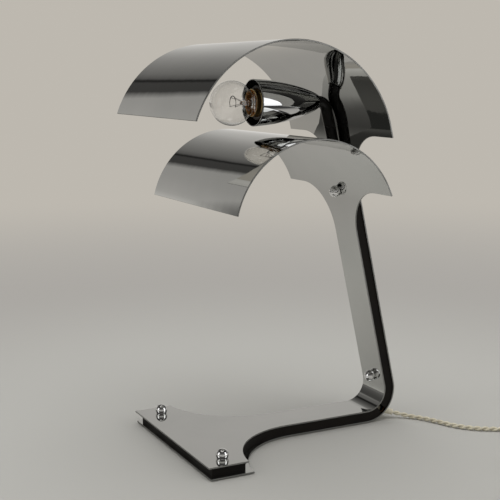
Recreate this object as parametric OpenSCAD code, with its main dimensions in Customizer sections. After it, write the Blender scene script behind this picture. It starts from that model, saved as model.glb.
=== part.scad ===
// Table lamp: two bent, polished plates bolted over a black spacer, with a bulb cup between the hoods.
// The row frame has its origin at the middle of the lamp's underside, +Z up and the open side at -X.

/* [Plates] */
// Thickness of the polished plates
plate_t = 1.5; // [1:0.1:2]
// Thickness of the black spacer between the plates
core_t = 10; // [9:0.5:13]
// Width of the stem and of the narrow part of the foot
stem_w = 43; // [38:1:60]
// Lean of the stem from upright, in degrees
stem_lean = 12.6; // [8:0.1:16]
// Radius of the inner plate's bend between foot and stem
bend_r = 22; // [18:1:28]

/* [Foot] */
// Length of the foot from its front edge to the stem's front face
foot_l = 252.2; // [230:0.1:280]
// Width of the foot's front edge
foot_w = 194; // [150:1:240]
// Length of the foot's straight side edges
foot_side = 42; // [30:1:60]
// Radius of the hollow on each side of the foot
hollow_r = 82; // [60:1:95]
// How far the under plate's front edge lies behind the top plate's
under_front = 2; // [0:0.5:5]
// How much further back the under plate's side edges end
under_side = 6; // [0:0.5:10]
// Diameter of a foot pad
pad_d = 10; // [6:1:16]
// Thickness of a foot pad
pad_t = 1; // [0.8:0.1:3]

/* [Hoods] */
// Width of both hoods
hood_w = 203; // [160:1:240]
// Radius of the quarter rounds between stem and hood
flare_r = 50; // [30:1:60]
// Radius of the lower hood's hollow face
low_r = 87; // [70:1:95]
// Height along the stem where the lower hood starts to curve
low_v = 241; // [225:1:260]
// Turn of the lower hood, in degrees
low_sweep = 154; // [120:1:165]
// Height along the stem of the lower hood's rear edge
low_edge_v = 252; // [235:1:260]
// Radius of the upper hood's hollow face
up_r = 106.5; // [95:0.5:115]
// Height along the stem where the upper hood starts to curve
up_v = 316.5; // [310:0.5:335]
// Turn of the upper hood, in degrees
up_sweep = 148; // [120:1:160]
// Height along the stem of the upper hood's rear edge
up_edge_v = 307.5; // [290:0.5:315]

/* [Spacer] */
// How far the spacer stays behind the front and side edges of the foot
core_inset = 6; // [3:0.5:12]
// How far the spacer stays behind the edges of the hollows and the stem
core_lip = 1.5; // [0.5:0.1:3]
// Height of the spacer's top end along the stem
core_top_v = 262; // [255:1:268]
// Angle below level of the stem spacer's lower end in the bend
stem_core_angle = 42; // [38:1:44]
// Angle below level of the foot spacer's end in the bend
foot_core_angle = 55; // [52:1:62]
// Width of the wire channel in the spacer
channel_w = 6; // [5.5:0.5:8]
// Depth of the wire channel
channel_depth = 5; // [4:0.5:6]
// How far the wire channel lies beside the middle
channel_y = 10; // [9:0.5:13]

/* [Fasteners] */
// Diameter of the studs
stud_d = 5; // [4:0.5:6]
// Diameter of the holes that the studs pass
stud_hole_d = 5.4; // [5.2:0.1:7]
// Length of thread that a stud stands above the inner plate
stud_rise = 6; // [4:0.5:7]
// Diameter of a ball nut
nut_d = 12.5; // [10:0.5:16]
// Height of a ball nut's centre above its seat
nut_centre = 3.3; // [2.5:0.1:5]
// Distance of the foot's ball nuts behind the front edge
foot_nut_x = 23; // [14:1:34]
// Distance between the foot's two ball nuts
foot_nut_span = 155; // [110:1:170]
// Height of the lower stem nut along the stem
stem_nut_low_v = 34; // [33:1:60]
// Height of the upper stem nut along the stem
stem_nut_high_v = 248; // [243:1:252]

/* [Arm] */
// Outer diameter of the arm tube
arm_d = 12; // [11:0.5:12.5]
// Wall of the arm tube
arm_wall = 1.2; // [1:0.1:1.7]
// Gap between the arm tube and the outer plate
arm_gap = 0.8; // [0.6:0.1:1.5]
// How much more the arm's round part leans than the stem, in degrees
arm_lean = 1.6; // [1.4:0.1:2.5]
// Radius of the arm's upper bend, at its middle line
arm_bend_r = 10; // [9:0.5:14]
// Width of the arm's flattened lower end
arm_flat_w = 14.6; // [13:0.1:18]
// Height of the arm's lower end along the stem
arm_foot_v = 236; // [232:1:240]
// Height along the stem where the arm is round again
arm_round_v = 286; // [282:1:296]
// Straight end of the arm behind the cup
arm_end_l = 1.5; // [1:0.1:6]

/* [Cup] */
// Height of the cup's axis above the foot's top face
cup_z = 335.8; // [326:0.1:336]
// Length of the cup
cup_l = 75; // [70:1:90]
// Outer diameter of the cup's mouth
cup_mouth_d = 47.4; // [46:0.1:56]
// Outer diameter of the cup's tail
cup_tail_d = 14.4; // [14:0.1:20]
// Wall of the cup
cup_wall = 0.8; // [0.5:0.1:1.2]
// Bore of the nipple that holds the cup and the lamp holder to the arm
nipple_bore = 7; // [5.4:0.1:7]

/* [Lamp holder and bulb] */
// Diameter of the bulb's globe
globe_d = 45; // [40:1:60]
// Distance of the globe's centre in front of the cup's mouth
globe_out = 22.9; // [21:0.1:34]
// Outer diameter of the lamp holder's front sleeve
holder_d = 35.6; // [33:0.1:36]
// Depth of the lamp holder's front edge inside the cup
holder_in = 4; // [3:0.5:5]
// Depth of the joint between holder sleeve and holder cap
holder_split = 40; // [38:1:42]
// Depth of the end of the bulb's contact inside the cup
contact_in = 25; // [24.5:0.5:26]
// Pitch of the screw cap's thread
screw_pitch = 3.63; // [3:0.01:4]

/* [Cord] */
// Diameter of the twisted cord
cord_d = 5.2; // [4.4:0.1:5.2]
// Diameter of one insulated wire
wire_d = 2.4; // [2:0.1:2.4]
// Outer diameter of the cord sleeve at the plate
sleeve_d = 8; // [7:0.5:9]
// Outer diameter of the cord sleeve at its tip
sleeve_tip_d = 6.4; // [6:0.1:7]
// Whole turns of the coil, to which a quarter turn is added
coil_turns = 7; // [4:1:7]
// Radius of the coil's outermost turn at the middle of the cord
coil_r = 36; // [34:1:38]
// Step from one turn of the coil to the next, and between its layers
coil_step = 6; // [5.8:0.1:6.2]

/* [Switch and plug] */
// Length of the switch
switch_l = 62; // [56:1:62]
// Width of the switch
switch_w = 26; // [24:1:34]
// Height of the switch without its rocker
switch_h = 18; // [16:1:22]
// Wall of the switch
switch_wall = 1.8; // [1.4:0.1:2.4]
// Tilt of the rocker each way, in degrees
rocker_tilt = 8; // [4:1:9]
// Width of the plug's front
plug_w = 27; // [25:1:32]
// Length of the plug's body
plug_l = 33; // [30:1:36]
// Thickness of the plug's body
plug_t = 13.8; // [12:0.1:13.8]
// Distance between the plug's pins
pin_span = 18.6; // [17:0.1:19]
// Diameter of a plug pin
pin_d = 4; // [3.5:0.1:4.5]
// Length of a plug pin outside the body
pin_l = 19; // [17:0.5:22]

/* [Hidden] */

$fn = 96;
fit = 0.05;        // play of threads, press fits and clamped faces, each side
bend_steps = 24;   // flats round the bend between foot and stem
hood_steps = 60;   // flats round a hood
seat_gap = 0.3;    // play between curved faces of neighbours

// The plates in the side view: n runs out of the stem's front face, v up along it.
out_n = plate_t + core_t;
stack_t = 2 * plate_t + core_t;
tangent_l = bend_r * tan(45 + stem_lean / 2);
bend_x = foot_l - tangent_l;
core_w = stem_w - 2 * core_lip;

// Place of the construction frame in the row frame.
up_centre_x = foot_l + (out_n - up_r) * cos(stem_lean) - up_v * sin(stem_lean);
up_end_x = up_centre_x + (up_r + plate_t) * cos(stem_lean + up_sweep);
mid_x = (min(0, up_end_x) + bend_x + bend_r + stack_t) / 2;
lift = pad_t + stack_t;

// Arm
arm_n = out_n - arm_gap - arm_d / 2;
arm_tilt = stem_lean + arm_lean;
arm_start = stem_point(arm_n, arm_round_v, 0);
arm_rise = (cup_z - arm_bend_r * (1 - sin(arm_tilt)) - arm_start[2]) / cos(arm_tilt);
arm_bend_x = arm_start[0] - arm_rise * sin(arm_tilt) - arm_bend_r * cos(arm_tilt);
arm_flat_t = core_t - 0.2;
nipple_d = arm_d - 2 * arm_wall - 2 * fit;
mouth_x = arm_bend_x - arm_end_l - cup_l;

// Bulb and holder, measured from the cup's mouth inwards
rim_s = -1.4;
cap_r = 13.1;
thread_depth = 0.9;
cap_wall = 0.4;
thread_turns = 5;
thread_s = 2;
insulator_s = contact_in - 2.2;
insert_s = contact_in + 2.5;
shell_r = cap_r + 0.75;

// Cord: the free cord's points are in the row frame
exit_angle = 48.5;
exit_y = -8;
sleeve_in = 4;
lead_route = [[136.7, -17, 6.5], [145, -23, 4.4], [151.5, -29, 3.2], [157.5, -36, 2.7],
              [163, -45, 2.7], [167.5, -55, 2.7], [172, -66, 2.7], [177, -77, 2.7],
              [184, -87, 2.7], [192.5, -95.5, 2.7], [201.5, -102, 2.7], [210, -107, 2.7],
              [218.5, -111.5, 2.8], [226, -117, 3.6], [232, -124, 5.2], [235.8, -131.5, 6.4],
              [237, -137, 6.9], [237, -139.9, 7]];
middle_route = [[237, -202.3, 7], [237, -206, 6.6], [237, -212, 5.3], [237, -219, 4.3],
                [237, -226, 3.9], [237, -234.8, 3.9]];
coil_centre = [201, -240, 3.9];
tail_route = [[195.8, -276, 21.9], [190, -276.2, 21.5], [185, -276.6, 20], [179, -277.2, 16.8],
              [173, -277.8, 13], [167, -278, 9.8], [161, -278, 7.8], [156.5, -278, 7.1]];
wire_side = 1.3;
plug_start = [156, -278, 7];
relief_l = 13;
pin_in = 6;
switch_end = [237, -140, 0];
switch_split = 9;

// ---------- points and sweeps ----------

function unit(v) = v / norm(v);
function backwards(p) = [for (i = [len(p) - 1:-1:0]) p[i]];
// A point of the side view, from its place in the stem's own directions.
function stem_point(n, v, y) = [foot_l + n * cos(stem_lean) - v * sin(stem_lean), y,
                                n * sin(stem_lean) + v * cos(stem_lean)];
// A point in the bend, from its radius and its angle below level.
function bend_point(r, a, y) = [bend_x + r * cos(a), y, bend_r - r * sin(a)];
function to_row(p) = [p[0] - mid_x, p[1], p[2] + lift];
function tangents(p) = [for (i = [0:len(p) - 1])
    i == 0 ? unit(p[1] - p[0])
    : i == len(p) - 1 ? unit(p[i] - p[i - 1])
    : unit(unit(p[i + 1] - p[i]) + unit(p[i] - p[i - 1]))];
function square_to(u, t) = unit(u - (u * t) * t);
function carried(t, u) = [for (i = 0, w = square_to(u, t[0]); i < len(t);
                               i = i + 1, w = i < len(t) ? square_to(w, t[i]) : w) w];

// A tube of a few flat sides along points, closed at both ends.
module tube(path, d, sides) {
    t = tangents(path);
    w = carried(t, abs(t[0][2]) > 0.9 ? [1, 0, 0] : [0, 0, 1]);
    last = len(path) - 1;
    points = [for (i = [0:last]) for (k = [0:sides - 1])
        path[i] + d / 2 * (cos(360 * k / sides) * w[i] + sin(360 * k / sides) * cross(t[i], w[i]))];
    walls = [for (i = [0:last - 1]) for (k = [0:sides - 1])
        let (a = i * sides + k, b = i * sides + (k + 1) % sides)
        each [[a, a + sides, b], [b, a + sides, b + sides]]];
    ends = [for (k = [1:sides - 2])
        each [[0, k, k + 1], [last * sides, last * sides + k + 1, last * sides + k]]];
    polyhedron(points = points, faces = concat(walls, ends));
}

// The coil's middle line: it spirals in and out in four layers, and climbs to the next
// layer in the half turn where it reverses. Its ends run straight for one cord diameter.
ring_steps = 24;
all_turns = coil_turns + 0.25;
layer_turns = all_turns / 4;
function inward(t) = 1 - abs(1 - (t / layer_turns) % 2);
function climbed(t) = min(1, max(0, 2 * t + 0.5));
function coil_point(t) = let (r = coil_r - coil_step * layer_turns * inward(t),
        layers = climbed(t - layer_turns) + climbed(t - 2 * layer_turns) + climbed(t - 3 * layer_turns))
    coil_centre + [r * cos(360 * t), -r * sin(360 * t), coil_step * layers];
coil_line = [for (i = [0:all_turns * ring_steps]) coil_point(i / ring_steps)];
coil_path = concat([coil_line[0] + [0, cord_d, 0]], coil_line,
                   [coil_line[len(coil_line) - 1] - [cord_d, 0, 0]]);
coil_gap = min([for (i = [0:len(coil_path) - 1]) for (j = [i + ring_steps / 2:len(coil_path) - 1])
    norm(coil_path[i] - coil_path[j])]) - cord_d;
echo("least gap between the coil's turns, mm", coil_gap);

// ---------- frames ----------

module placed() { translate([-mid_x, 0, lift]) children(); }
module stem_frame() { translate([foot_l, 0, 0]) rotate([0, -stem_lean, 0]) children(); }
module cup_frame() { placed() translate([mouth_x, 0, cup_z]) rotate([0, 90, 0]) children(); }
module along_n() { rotate([0, 90, 0]) children(); }
// From a drawing in the side view to a solid across the lamp.
module across(width) { rotate([90, 0, 0]) linear_extrude(width, center = true) children(); }
// From a drawing with x across the lamp and y up the stem to a solid through the stem.
module through_stem(from_n, to_n) {
    translate([from_n, 0, 0]) rotate([90, 0, 90]) linear_extrude(to_n - from_n) children();
}
module both_sides() {
    children();
    mirror([0, 1, 0]) children();
}
module at_foot_nuts() {
    for (side = [-1, 1]) translate([foot_nut_x, side * foot_nut_span / 2, 0]) children();
}
module at_stem_nuts() {
    for (v = [stem_nut_low_v, stem_nut_high_v]) translate([0, 0, v]) children();
}

// ---------- plates ----------

function arc_line(centre, r, a1, a2, steps) = [for (i = [0:steps]) let (a = a1 + (a2 - a1) * i / steps)
    centre + r * [cos(a), sin(a)]];
bend_centre = [bend_x, bend_r];
function bend_line(off, a1, a2) = arc_line(bend_centre, bend_r + off, a1, a2, bend_steps);
// A point of the side view in the drawing plane.
function stem_xz(n, v) = [foot_l + n * cos(stem_lean) - v * sin(stem_lean), n * sin(stem_lean) + v * cos(stem_lean)];
// One face of a plate in the side view: along the foot, round the bend, up the stem and
// round the hood. It lies off millimetres outside the inner plate's inner face.
function face_line(off, hood_r, hood_v, sweep) = concat([[0, -off]], bend_line(off, -90, stem_lean),
    arc_line(stem_xz(off - hood_r, hood_v), hood_r, stem_lean, stem_lean + sweep, hood_steps));

module plate_profile(off, hood_r, hood_v, sweep) {
    polygon(concat(face_line(off, hood_r, hood_v, sweep),
                   backwards(face_line(off + plate_t, hood_r + plate_t, hood_v, sweep))));
}

// The foot from above: a wide front with a round hollow on each side, then the narrow part.
module foot_outline(front, side_end, half_w, half_stem, r) {
    hollow_y = stem_w / 2 + hollow_r;
    hollow_x = side_end + sqrt(pow(hollow_r, 2) - pow(hollow_y - foot_w / 2, 2));
    difference() {
        translate([front, -half_w]) square([hollow_x - front, 2 * half_w]);
        for (side = [-1, 1]) translate([hollow_x, side * hollow_y]) circle(r);
    }
    translate([front, -half_stem]) square([foot_l + stack_t - front, 2 * half_stem]);
}

module outside_foot(front, side_end, half_w, half_stem, r) {
    translate([0, 0, -stack_t - 5]) linear_extrude(stack_t + 5 + bend_r / 2) difference() {
        translate([-20, -hood_w]) square([foot_l + stack_t + 40, 2 * hood_w]);
        foot_outline(front, side_end, half_w, half_stem, r);
    }
}

// What is cut away beside the stem, up to the hood's rear edge, with a quarter round.
module outside_stem(edge_v) {
    stem_frame() both_sides() through_stem(-2 * bend_r, stack_t + 5) {
        translate([stem_w / 2, -5]) square([hood_w, edge_v - flare_r + 5]);
        translate([stem_w / 2 + flare_r, edge_v - flare_r]) circle(flare_r);
        translate([stem_w / 2 + flare_r, 0]) square([hood_w, edge_v]);
    }
}

module stud_holes(d) {
    at_foot_nuts() translate([0, 0, -out_n]) cylinder(h = out_n + 5, d = d);
    stem_frame() at_stem_nuts() translate([-5, 0, 0]) along_n() cylinder(h = out_n + 5, d = d);
}

module inner_plate() {
    color("silver") placed() difference() {
        across(hood_w) plate_profile(0, low_r, low_v, low_sweep);
        outside_foot(0, foot_side, foot_w / 2, stem_w / 2, hollow_r);
        outside_stem(low_edge_v);
        stud_holes(stud_hole_d);
    }
}

module outer_plate() {
    color("silver") placed() difference() {
        across(hood_w) plate_profile(out_n, up_r, up_v, up_sweep);
        outside_foot(under_front, foot_side + under_side, foot_w / 2, stem_w / 2, hollow_r);
        outside_stem(up_edge_v);
        sleeve_axis() translate([0, 0, -15]) cylinder(h = 30, d = sleeve_d + 2 * fit);
    }
}

// ---------- spacer ----------

core_in = plate_t + fit;
core_out = out_n - fit;

module foot_core() {
    color([0.05, 0.05, 0.05]) placed() difference() {
        across(foot_w) polygon(concat([[0, -core_in]], bend_line(core_in, -90, -foot_core_angle),
                                      backwards(bend_line(core_out, -90, -foot_core_angle)), [[0, -core_out]]));
        outside_foot(core_inset, foot_side, foot_w / 2 - core_inset, core_w / 2, hollow_r + core_lip);
        stud_holes(stud_hole_d);
        sleeve_axis() translate([0, 0, -3 * sleeve_in]) cylinder(h = 6 * sleeve_in, d = sleeve_d + 1);
    }
}

// A slab that follows the bend and then the stem, between two offsets.
module stem_slab(width, from_off, to_off, from_a, to_v) {
    across(width) polygon(concat(bend_line(from_off, from_a, stem_lean), [stem_xz(from_off, to_v)],
                                 [stem_xz(to_off, to_v)], backwards(bend_line(to_off, from_a, stem_lean))));
}

module stem_core() {
    chamber_v = arm_foot_v - 10;
    color([0.05, 0.05, 0.05]) placed() difference() {
        stem_slab(core_w, core_in, core_out, -stem_core_angle, core_top_v);
        stud_holes(stud_hole_d);
        sleeve_axis() translate([0, 0, -4 * sleeve_in]) cylinder(h = 8 * sleeve_in, d = sleeve_d + 1);
        // room for the wires to turn up from the sleeve, then the channel up the stem
        translate([0, 1 - channel_y, 0]) across(2 * channel_w + 2)
            polygon(concat(bend_line(0, -stem_core_angle - 2, -18), backwards(bend_line(stack_t, -stem_core_angle - 2, -18))));
        translate([0, -channel_y, 0])
            stem_slab(channel_w, out_n - channel_depth, stack_t, -stem_core_angle - 2, chamber_v + 1);
        stem_frame() {
            translate([plate_t + 2, -channel_y - channel_w / 2 - 1, chamber_v])
                cube([core_t, 2 * channel_y + channel_w + 2, arm_foot_v - chamber_v + 1]);
            translate([0, -arm_flat_w / 2 - seat_gap / 2, arm_foot_v - seat_gap])
                cube([stack_t, arm_flat_w + seat_gap, core_top_v]);
        }
    }
}

// ---------- fasteners and pads ----------

nut_seat_r = sqrt(pow(nut_d / 2, 2) - pow(nut_centre, 2));
// The lower hood already curves away from its rear edge, so the nut there stands a little off.
function hood_drop(v) = v > low_v ? low_r - sqrt(pow(low_r, 2) - pow(v - low_v, 2)) : 0;

module ball_nut() {
    difference() {
        translate([0, 0, nut_centre]) intersection() {
            sphere(d = nut_d);
            translate([0, 0, nut_d - nut_centre]) cube(2 * nut_d, center = true);
        }
        translate([0, 0, -1]) cylinder(h = stud_rise + 1.5, d = stud_d + 2 * fit);
    }
}

module foot_studs() {
    color("gainsboro") placed() at_foot_nuts() translate([0, 0, -out_n])
        cylinder(h = out_n + stud_rise, d = stud_d);
}

module foot_nuts() {
    color("gainsboro") placed() at_foot_nuts() ball_nut();
}

module stem_studs() {
    color("gainsboro") placed() stem_frame() at_stem_nuts() translate([-stud_rise, 0, 0])
        along_n() cylinder(h = out_n + stud_rise, d = stud_d);
}

module stem_nuts() {
    color("gainsboro") placed() stem_frame()
        for (v = [stem_nut_low_v, stem_nut_high_v])
            translate([-hood_drop(v + nut_seat_r), 0, v]) rotate([0, -90, 0]) ball_nut();
}

module foot_pads() {
    color("dimgray") placed() both_sides() {
        translate([foot_nut_x - 4, foot_nut_span / 2 + 6, -stack_t - pad_t]) cylinder(h = pad_t, d = pad_d);
        translate([bend_x - 14, stem_w / 2 - pad_d, -stack_t - pad_t]) cylinder(h = pad_t, d = pad_d);
    }
}

// ---------- arm ----------

arm_sides = 32;
flat_top_v = core_top_v + 2;
function slow(x) = x * x * (3 - 2 * x);
// A ring of the arm: its middle, its direction away from the lamp's middle plane's open
// side, its width across the lamp and its thickness.
function stem_ring(v) = let (k = slow(min(1, max(0, (v - flat_top_v) / (arm_round_v - flat_top_v)))))
    [stem_point((plate_t + core_t / 2) * (1 - k) + arm_n * k, v, 0),
     [cos(stem_lean + arm_lean * k), 0, sin(stem_lean + arm_lean * k)],
     arm_flat_w * (1 - k) + arm_d * k, arm_flat_t * (1 - k) + arm_d * k];
function bend_ring(b) = [[arm_bend_x + arm_bend_r * cos(b), 0, cup_z - arm_bend_r + arm_bend_r * sin(b)],
    [cos(b), 0, sin(b)], arm_d, arm_d];
arm_rings = concat(
    [stem_ring(arm_foot_v), stem_ring(flat_top_v)],
    [for (i = [1:8]) stem_ring(flat_top_v + (arm_round_v - flat_top_v) * i / 8)],
    [for (i = [0:8]) bend_ring(arm_tilt + (90 - arm_tilt) * i / 8)],
    [[[arm_bend_x - arm_end_l, 0, cup_z], [0, 0, 1], arm_d, arm_d]]);

module arm_tube() {
    n = arm_sides;
    last = len(arm_rings) - 1;
    skin = n * (last + 1);
    points = [for (wall = [0, arm_wall]) for (q = arm_rings) for (k = [0:n - 1])
        let (a = 360 * (k + 0.5) / n, r = q[3] / 2 - wall)
        q[0] - ((q[2] - q[3]) / 2 * sign(cos(a)) + r * cos(a)) * [0, 1, 0] + r * sin(a) * q[1]];
    walls = [for (i = [0:last - 1]) for (k = [0:n - 1]) let (a = i * n + k, b = i * n + (k + 1) % n)
        each [[a, a + n, b], [b, a + n, b + n],
              [skin + a, skin + b, skin + a + n], [skin + b, skin + b + n, skin + a + n]]];
    ends = [for (k = [0:n - 1]) let (a = k, b = (k + 1) % n, c = last * n + a, d = last * n + b)
        each [[a, b, skin + a], [b, skin + b, skin + a], [d, c, skin + c], [d, skin + c, skin + d]]];
    color([0.04, 0.04, 0.04]) placed() difference() {
        polyhedron(points = points, faces = concat(walls, ends));
        stem_frame() translate([-5, 0, stem_nut_high_v]) along_n()
            cylinder(h = out_n + 5, d = stud_hole_d);
    }
}

// ---------- cup and lamp holder ----------

// The cup's outer radius at depth s: full at the mouth, and rounding in ever faster to the tail.
function cup_radius(s) = let (u = min(1, s / cup_l))
    cup_tail_d / 2 + (cup_mouth_d - cup_tail_d) / 2 * pow(1 - pow(u, 1.8), 0.85);
cup_steps = 30;

module socket_cup() {
    outer = [for (i = [0:cup_steps]) let (s = cup_l * i / cup_steps) [cup_radius(s), s]];
    inner_l = cup_l - cup_wall;
    inner = [for (i = [cup_steps:-1:0]) let (s = inner_l * i / cup_steps) [cup_radius(s + 0.4) - cup_wall, s]];
    tail_r = nipple_d / 2 + fit;
    color("silver") cup_frame() rotate_extrude()
        polygon(concat(outer, [[tail_r, cup_l], [tail_r, inner_l]], inner));
}

module cup_nipple() {
    start = holder_split + 16;
    color("goldenrod") cup_frame() translate([0, 0, start]) difference() {
        cylinder(h = cup_l + arm_end_l - start, d = nipple_d);
        translate([0, 0, -1]) cylinder(h = cup_l, d = nipple_bore);
    }
}

module cup_ring_nut() {
    color("goldenrod") cup_frame() translate([0, 0, cup_l - cup_wall - 3.1]) difference() {
        cylinder(h = 3, r = cup_tail_d / 2 - 0.7);
        translate([0, 0, -1]) cylinder(h = 5, r = nipple_d / 2 + fit);
    }
}

holder_r = holder_d / 2;
holder_wall = 2;
holder_back = holder_split + 17;

module holder_cap() {
    boss_r = 7.5;
    color([0.09, 0.07, 0.06]) cup_frame() rotate_extrude() polygon([
        [holder_r - 1, holder_split], [holder_r - 1.6, holder_split + 3],
        [holder_r - 5.6, holder_back - 2], [boss_r, holder_back], [boss_r, holder_back + 7],
        [nipple_d / 2 + fit, holder_back + 7], [nipple_d / 2 + fit, holder_back - 3],
        [holder_r - 8, holder_back - 3], [holder_r - 1 - holder_wall, holder_split + 3],
        [holder_r - 1 - holder_wall, holder_split]]);
}

module holder_sleeve() {
    color([0.09, 0.07, 0.06]) cup_frame() rotate_extrude() polygon([
        [holder_r - 0.6, holder_in], [holder_r, holder_in + 1], [holder_r, holder_split],
        [holder_r - holder_wall - 0.8, holder_split], [holder_r - holder_wall - 0.8, holder_in + 2],
        [shell_r + 0.55, holder_in + 1], [shell_r + 0.55, holder_in]]);
}

module holder_insert() {
    r = holder_r - holder_wall - 0.9;
    color("ivory") cup_frame() difference() {
        translate([0, 0, insert_s]) cylinder(h = holder_split - 2 - insert_s, r = r);
        for (side = [-1, 1]) translate([0, side * 8, insert_s + 5]) cylinder(h = 20, d = 3 + 2 * fit);
        translate([0, 0, insert_s - 1]) cylinder(h = 20, d = 4);
    }
}

// The rolled thread as a row of round waves, from depth s0 over the given turns.
function thread_line(r, s0, turns) = [for (i = [0:turns * 8])
    [r - thread_depth / 2 * (1 - cos(45 * i)), s0 + i * screw_pitch / 8]];
function offset_line(p, dr) = [for (q = p) [q[0] + dr, q[1]]];

module screw_shell() {
    wave = thread_line(shell_r + cap_wall + thread_depth / 2, holder_in + 1.5, 5);
    end = insert_s - 0.1;
    color("peru") cup_frame() rotate_extrude() polygon(concat(
        wave, [[shell_r, end - cap_wall], [shell_r, end], [6, end], [6, end - cap_wall]],
        [[shell_r - cap_wall, end - cap_wall]],
        offset_line(backwards(wave), -cap_wall)));
}

module centre_contact() {
    color("peru") cup_frame() {
        translate([0, 0, contact_in + seat_gap]) cylinder(h = 0.6, d = 7);
        translate([0, 0, contact_in + seat_gap]) cylinder(h = insert_s - contact_in + 4, d = 3.6);
    }
}

module terminal_screws() {
    color("goldenrod") cup_frame() for (side = [-1, 1]) translate([0, side * 8, insert_s + 5.2]) {
        cylinder(h = holder_split - 2 - insert_s - 5.2, d = 3);
        translate([0, 0, holder_split - 1.95 - insert_s - 5.2]) difference() {
            cylinder(h = 2, d = 5.6);
            translate([0, 0, 1.6]) cube([6, 0.8, 1.6], center = true);
        }
    }
}

// ---------- bulb, drawn from its front pole to its cap ----------

globe_r = globe_d / 2;
neck_r = 11.7;
glass_t = 0.6;
globe_end = 142;
// The glass's outline for a skin inset by t: the globe's arc, a hollow shoulder, the neck.
function glass_line(t) = concat(
    [for (i = [0:32]) let (a = globe_end * i / 32)
        [(globe_r - t) * sin(a), -globe_out - (globe_r - t) * cos(a)]],
    [for (i = [1:6]) let (a = 90 * i / 6, r0 = (globe_r - t) * sin(globe_end),
                          s0 = -globe_out - (globe_r - t) * cos(globe_end))
        [r0 - (r0 - neck_r + t) * sin(a), s0 + (rim_s + 1 - s0) * (1 - cos(a))]],
    [[neck_r - t, thread_s + 1.5]]);

module bulb_glass() {
    color([0.9, 0.95, 1, 0.35]) cup_frame() rotate_extrude()
        polygon(concat(glass_line(0), backwards(glass_line(glass_t))));
}

module bulb_stem() {
    color([0.9, 0.95, 1, 0.5]) cup_frame() rotate_extrude() polygon([
        [0, -14], [1.6, -13.6], [2.1, -11], [2.4, -6], [3.4, -1.5], [6.5, 1.2],
        [neck_r - glass_t - 0.1, 2.6], [neck_r - glass_t - 0.1, 3.4], [5.6, 2.6], [0, 0]]);
}

module rod(a, b, r) {
    d = b - a;
    translate(a) rotate([0, acos(d[2] / norm(d)), atan2(d[1], d[0])]) cylinder(h = norm(d), r = r, $fn = 24);
}

module bulb_filament() {
    loop_r = 7;
    wire_r = 0.35;
    loop_s = -globe_out + 1;
    color("gray") cup_frame() {
        translate([0, 0, loop_s]) rotate(60) rotate_extrude(angle = 240) translate([loop_r, 0]) circle(0.5);
        for (a = [60, 140, 220, 300])
            rod([2.35 * cos(a), 2.35 * sin(a), -13.2], [loop_r * cos(a), loop_r * sin(a), loop_s], wire_r);
    }
}

module bulb_cap() {
    wave = thread_line(cap_r, thread_s, thread_turns);
    cone = [[9.6, insulator_s], [9.2, insulator_s]];
    color("khaki") cup_frame() rotate_extrude() polygon(concat(
        [[cap_r + 0.75, rim_s], [cap_r + 0.35, rim_s + 0.8], [cap_r + 0.1, rim_s + 2]],
        wave, cone, offset_line(backwards(wave), -cap_wall),
        [[cap_r + 0.1 - cap_wall, rim_s + 2], [cap_r + 0.35 - cap_wall, rim_s]]));
}

module bulb_insulator() {
    color([0.1, 0.08, 0.1]) cup_frame() rotate_extrude() polygon([
        [0, insulator_s - 1.5], [9.1, insulator_s - 1.5], [9.1, insulator_s],
        [9.4, insulator_s + 0.1], [5, contact_in - 0.6], [0, contact_in - 0.6]]);
}

module bulb_contact() {
    color("silver") cup_frame() rotate_extrude()
        polygon([[0, contact_in - 0.6], [4.6, contact_in - 0.6], [3.8, contact_in - 0.1], [0, contact_in]]);
}

// ---------- wires and cord ----------

exit_row = to_row(bend_point(bend_r + stack_t, exit_angle, exit_y));
sleeve_dir = unit(lead_route[0] - exit_row);
sleeve_l = norm(lead_route[0] - exit_row);

// A frame at the exit hole with +Z along the cord sleeve, in the construction frame.
module sleeve_axis() {
    translate(exit_row + [mid_x, 0, -lift])
        rotate([0, acos(sleeve_dir[2]), atan2(sleeve_dir[1], sleeve_dir[0])]) children();
}

module cord_sleeve() {
    color([0.87, 0.84, 0.74]) placed() sleeve_axis() difference() {
        rotate_extrude() polygon([
            [0, -sleeve_in], [sleeve_d / 2, -sleeve_in], [sleeve_d / 2, 3],
            [sleeve_tip_d / 2 + 0.4, 4.5], [sleeve_tip_d / 2, sleeve_l], [0, sleeve_l]]);
        translate([0, 0, -sleeve_in - 1]) cylinder(h = sleeve_l + sleeve_in + 2, d = cord_d + 2 * fit);
    }
}

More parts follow.
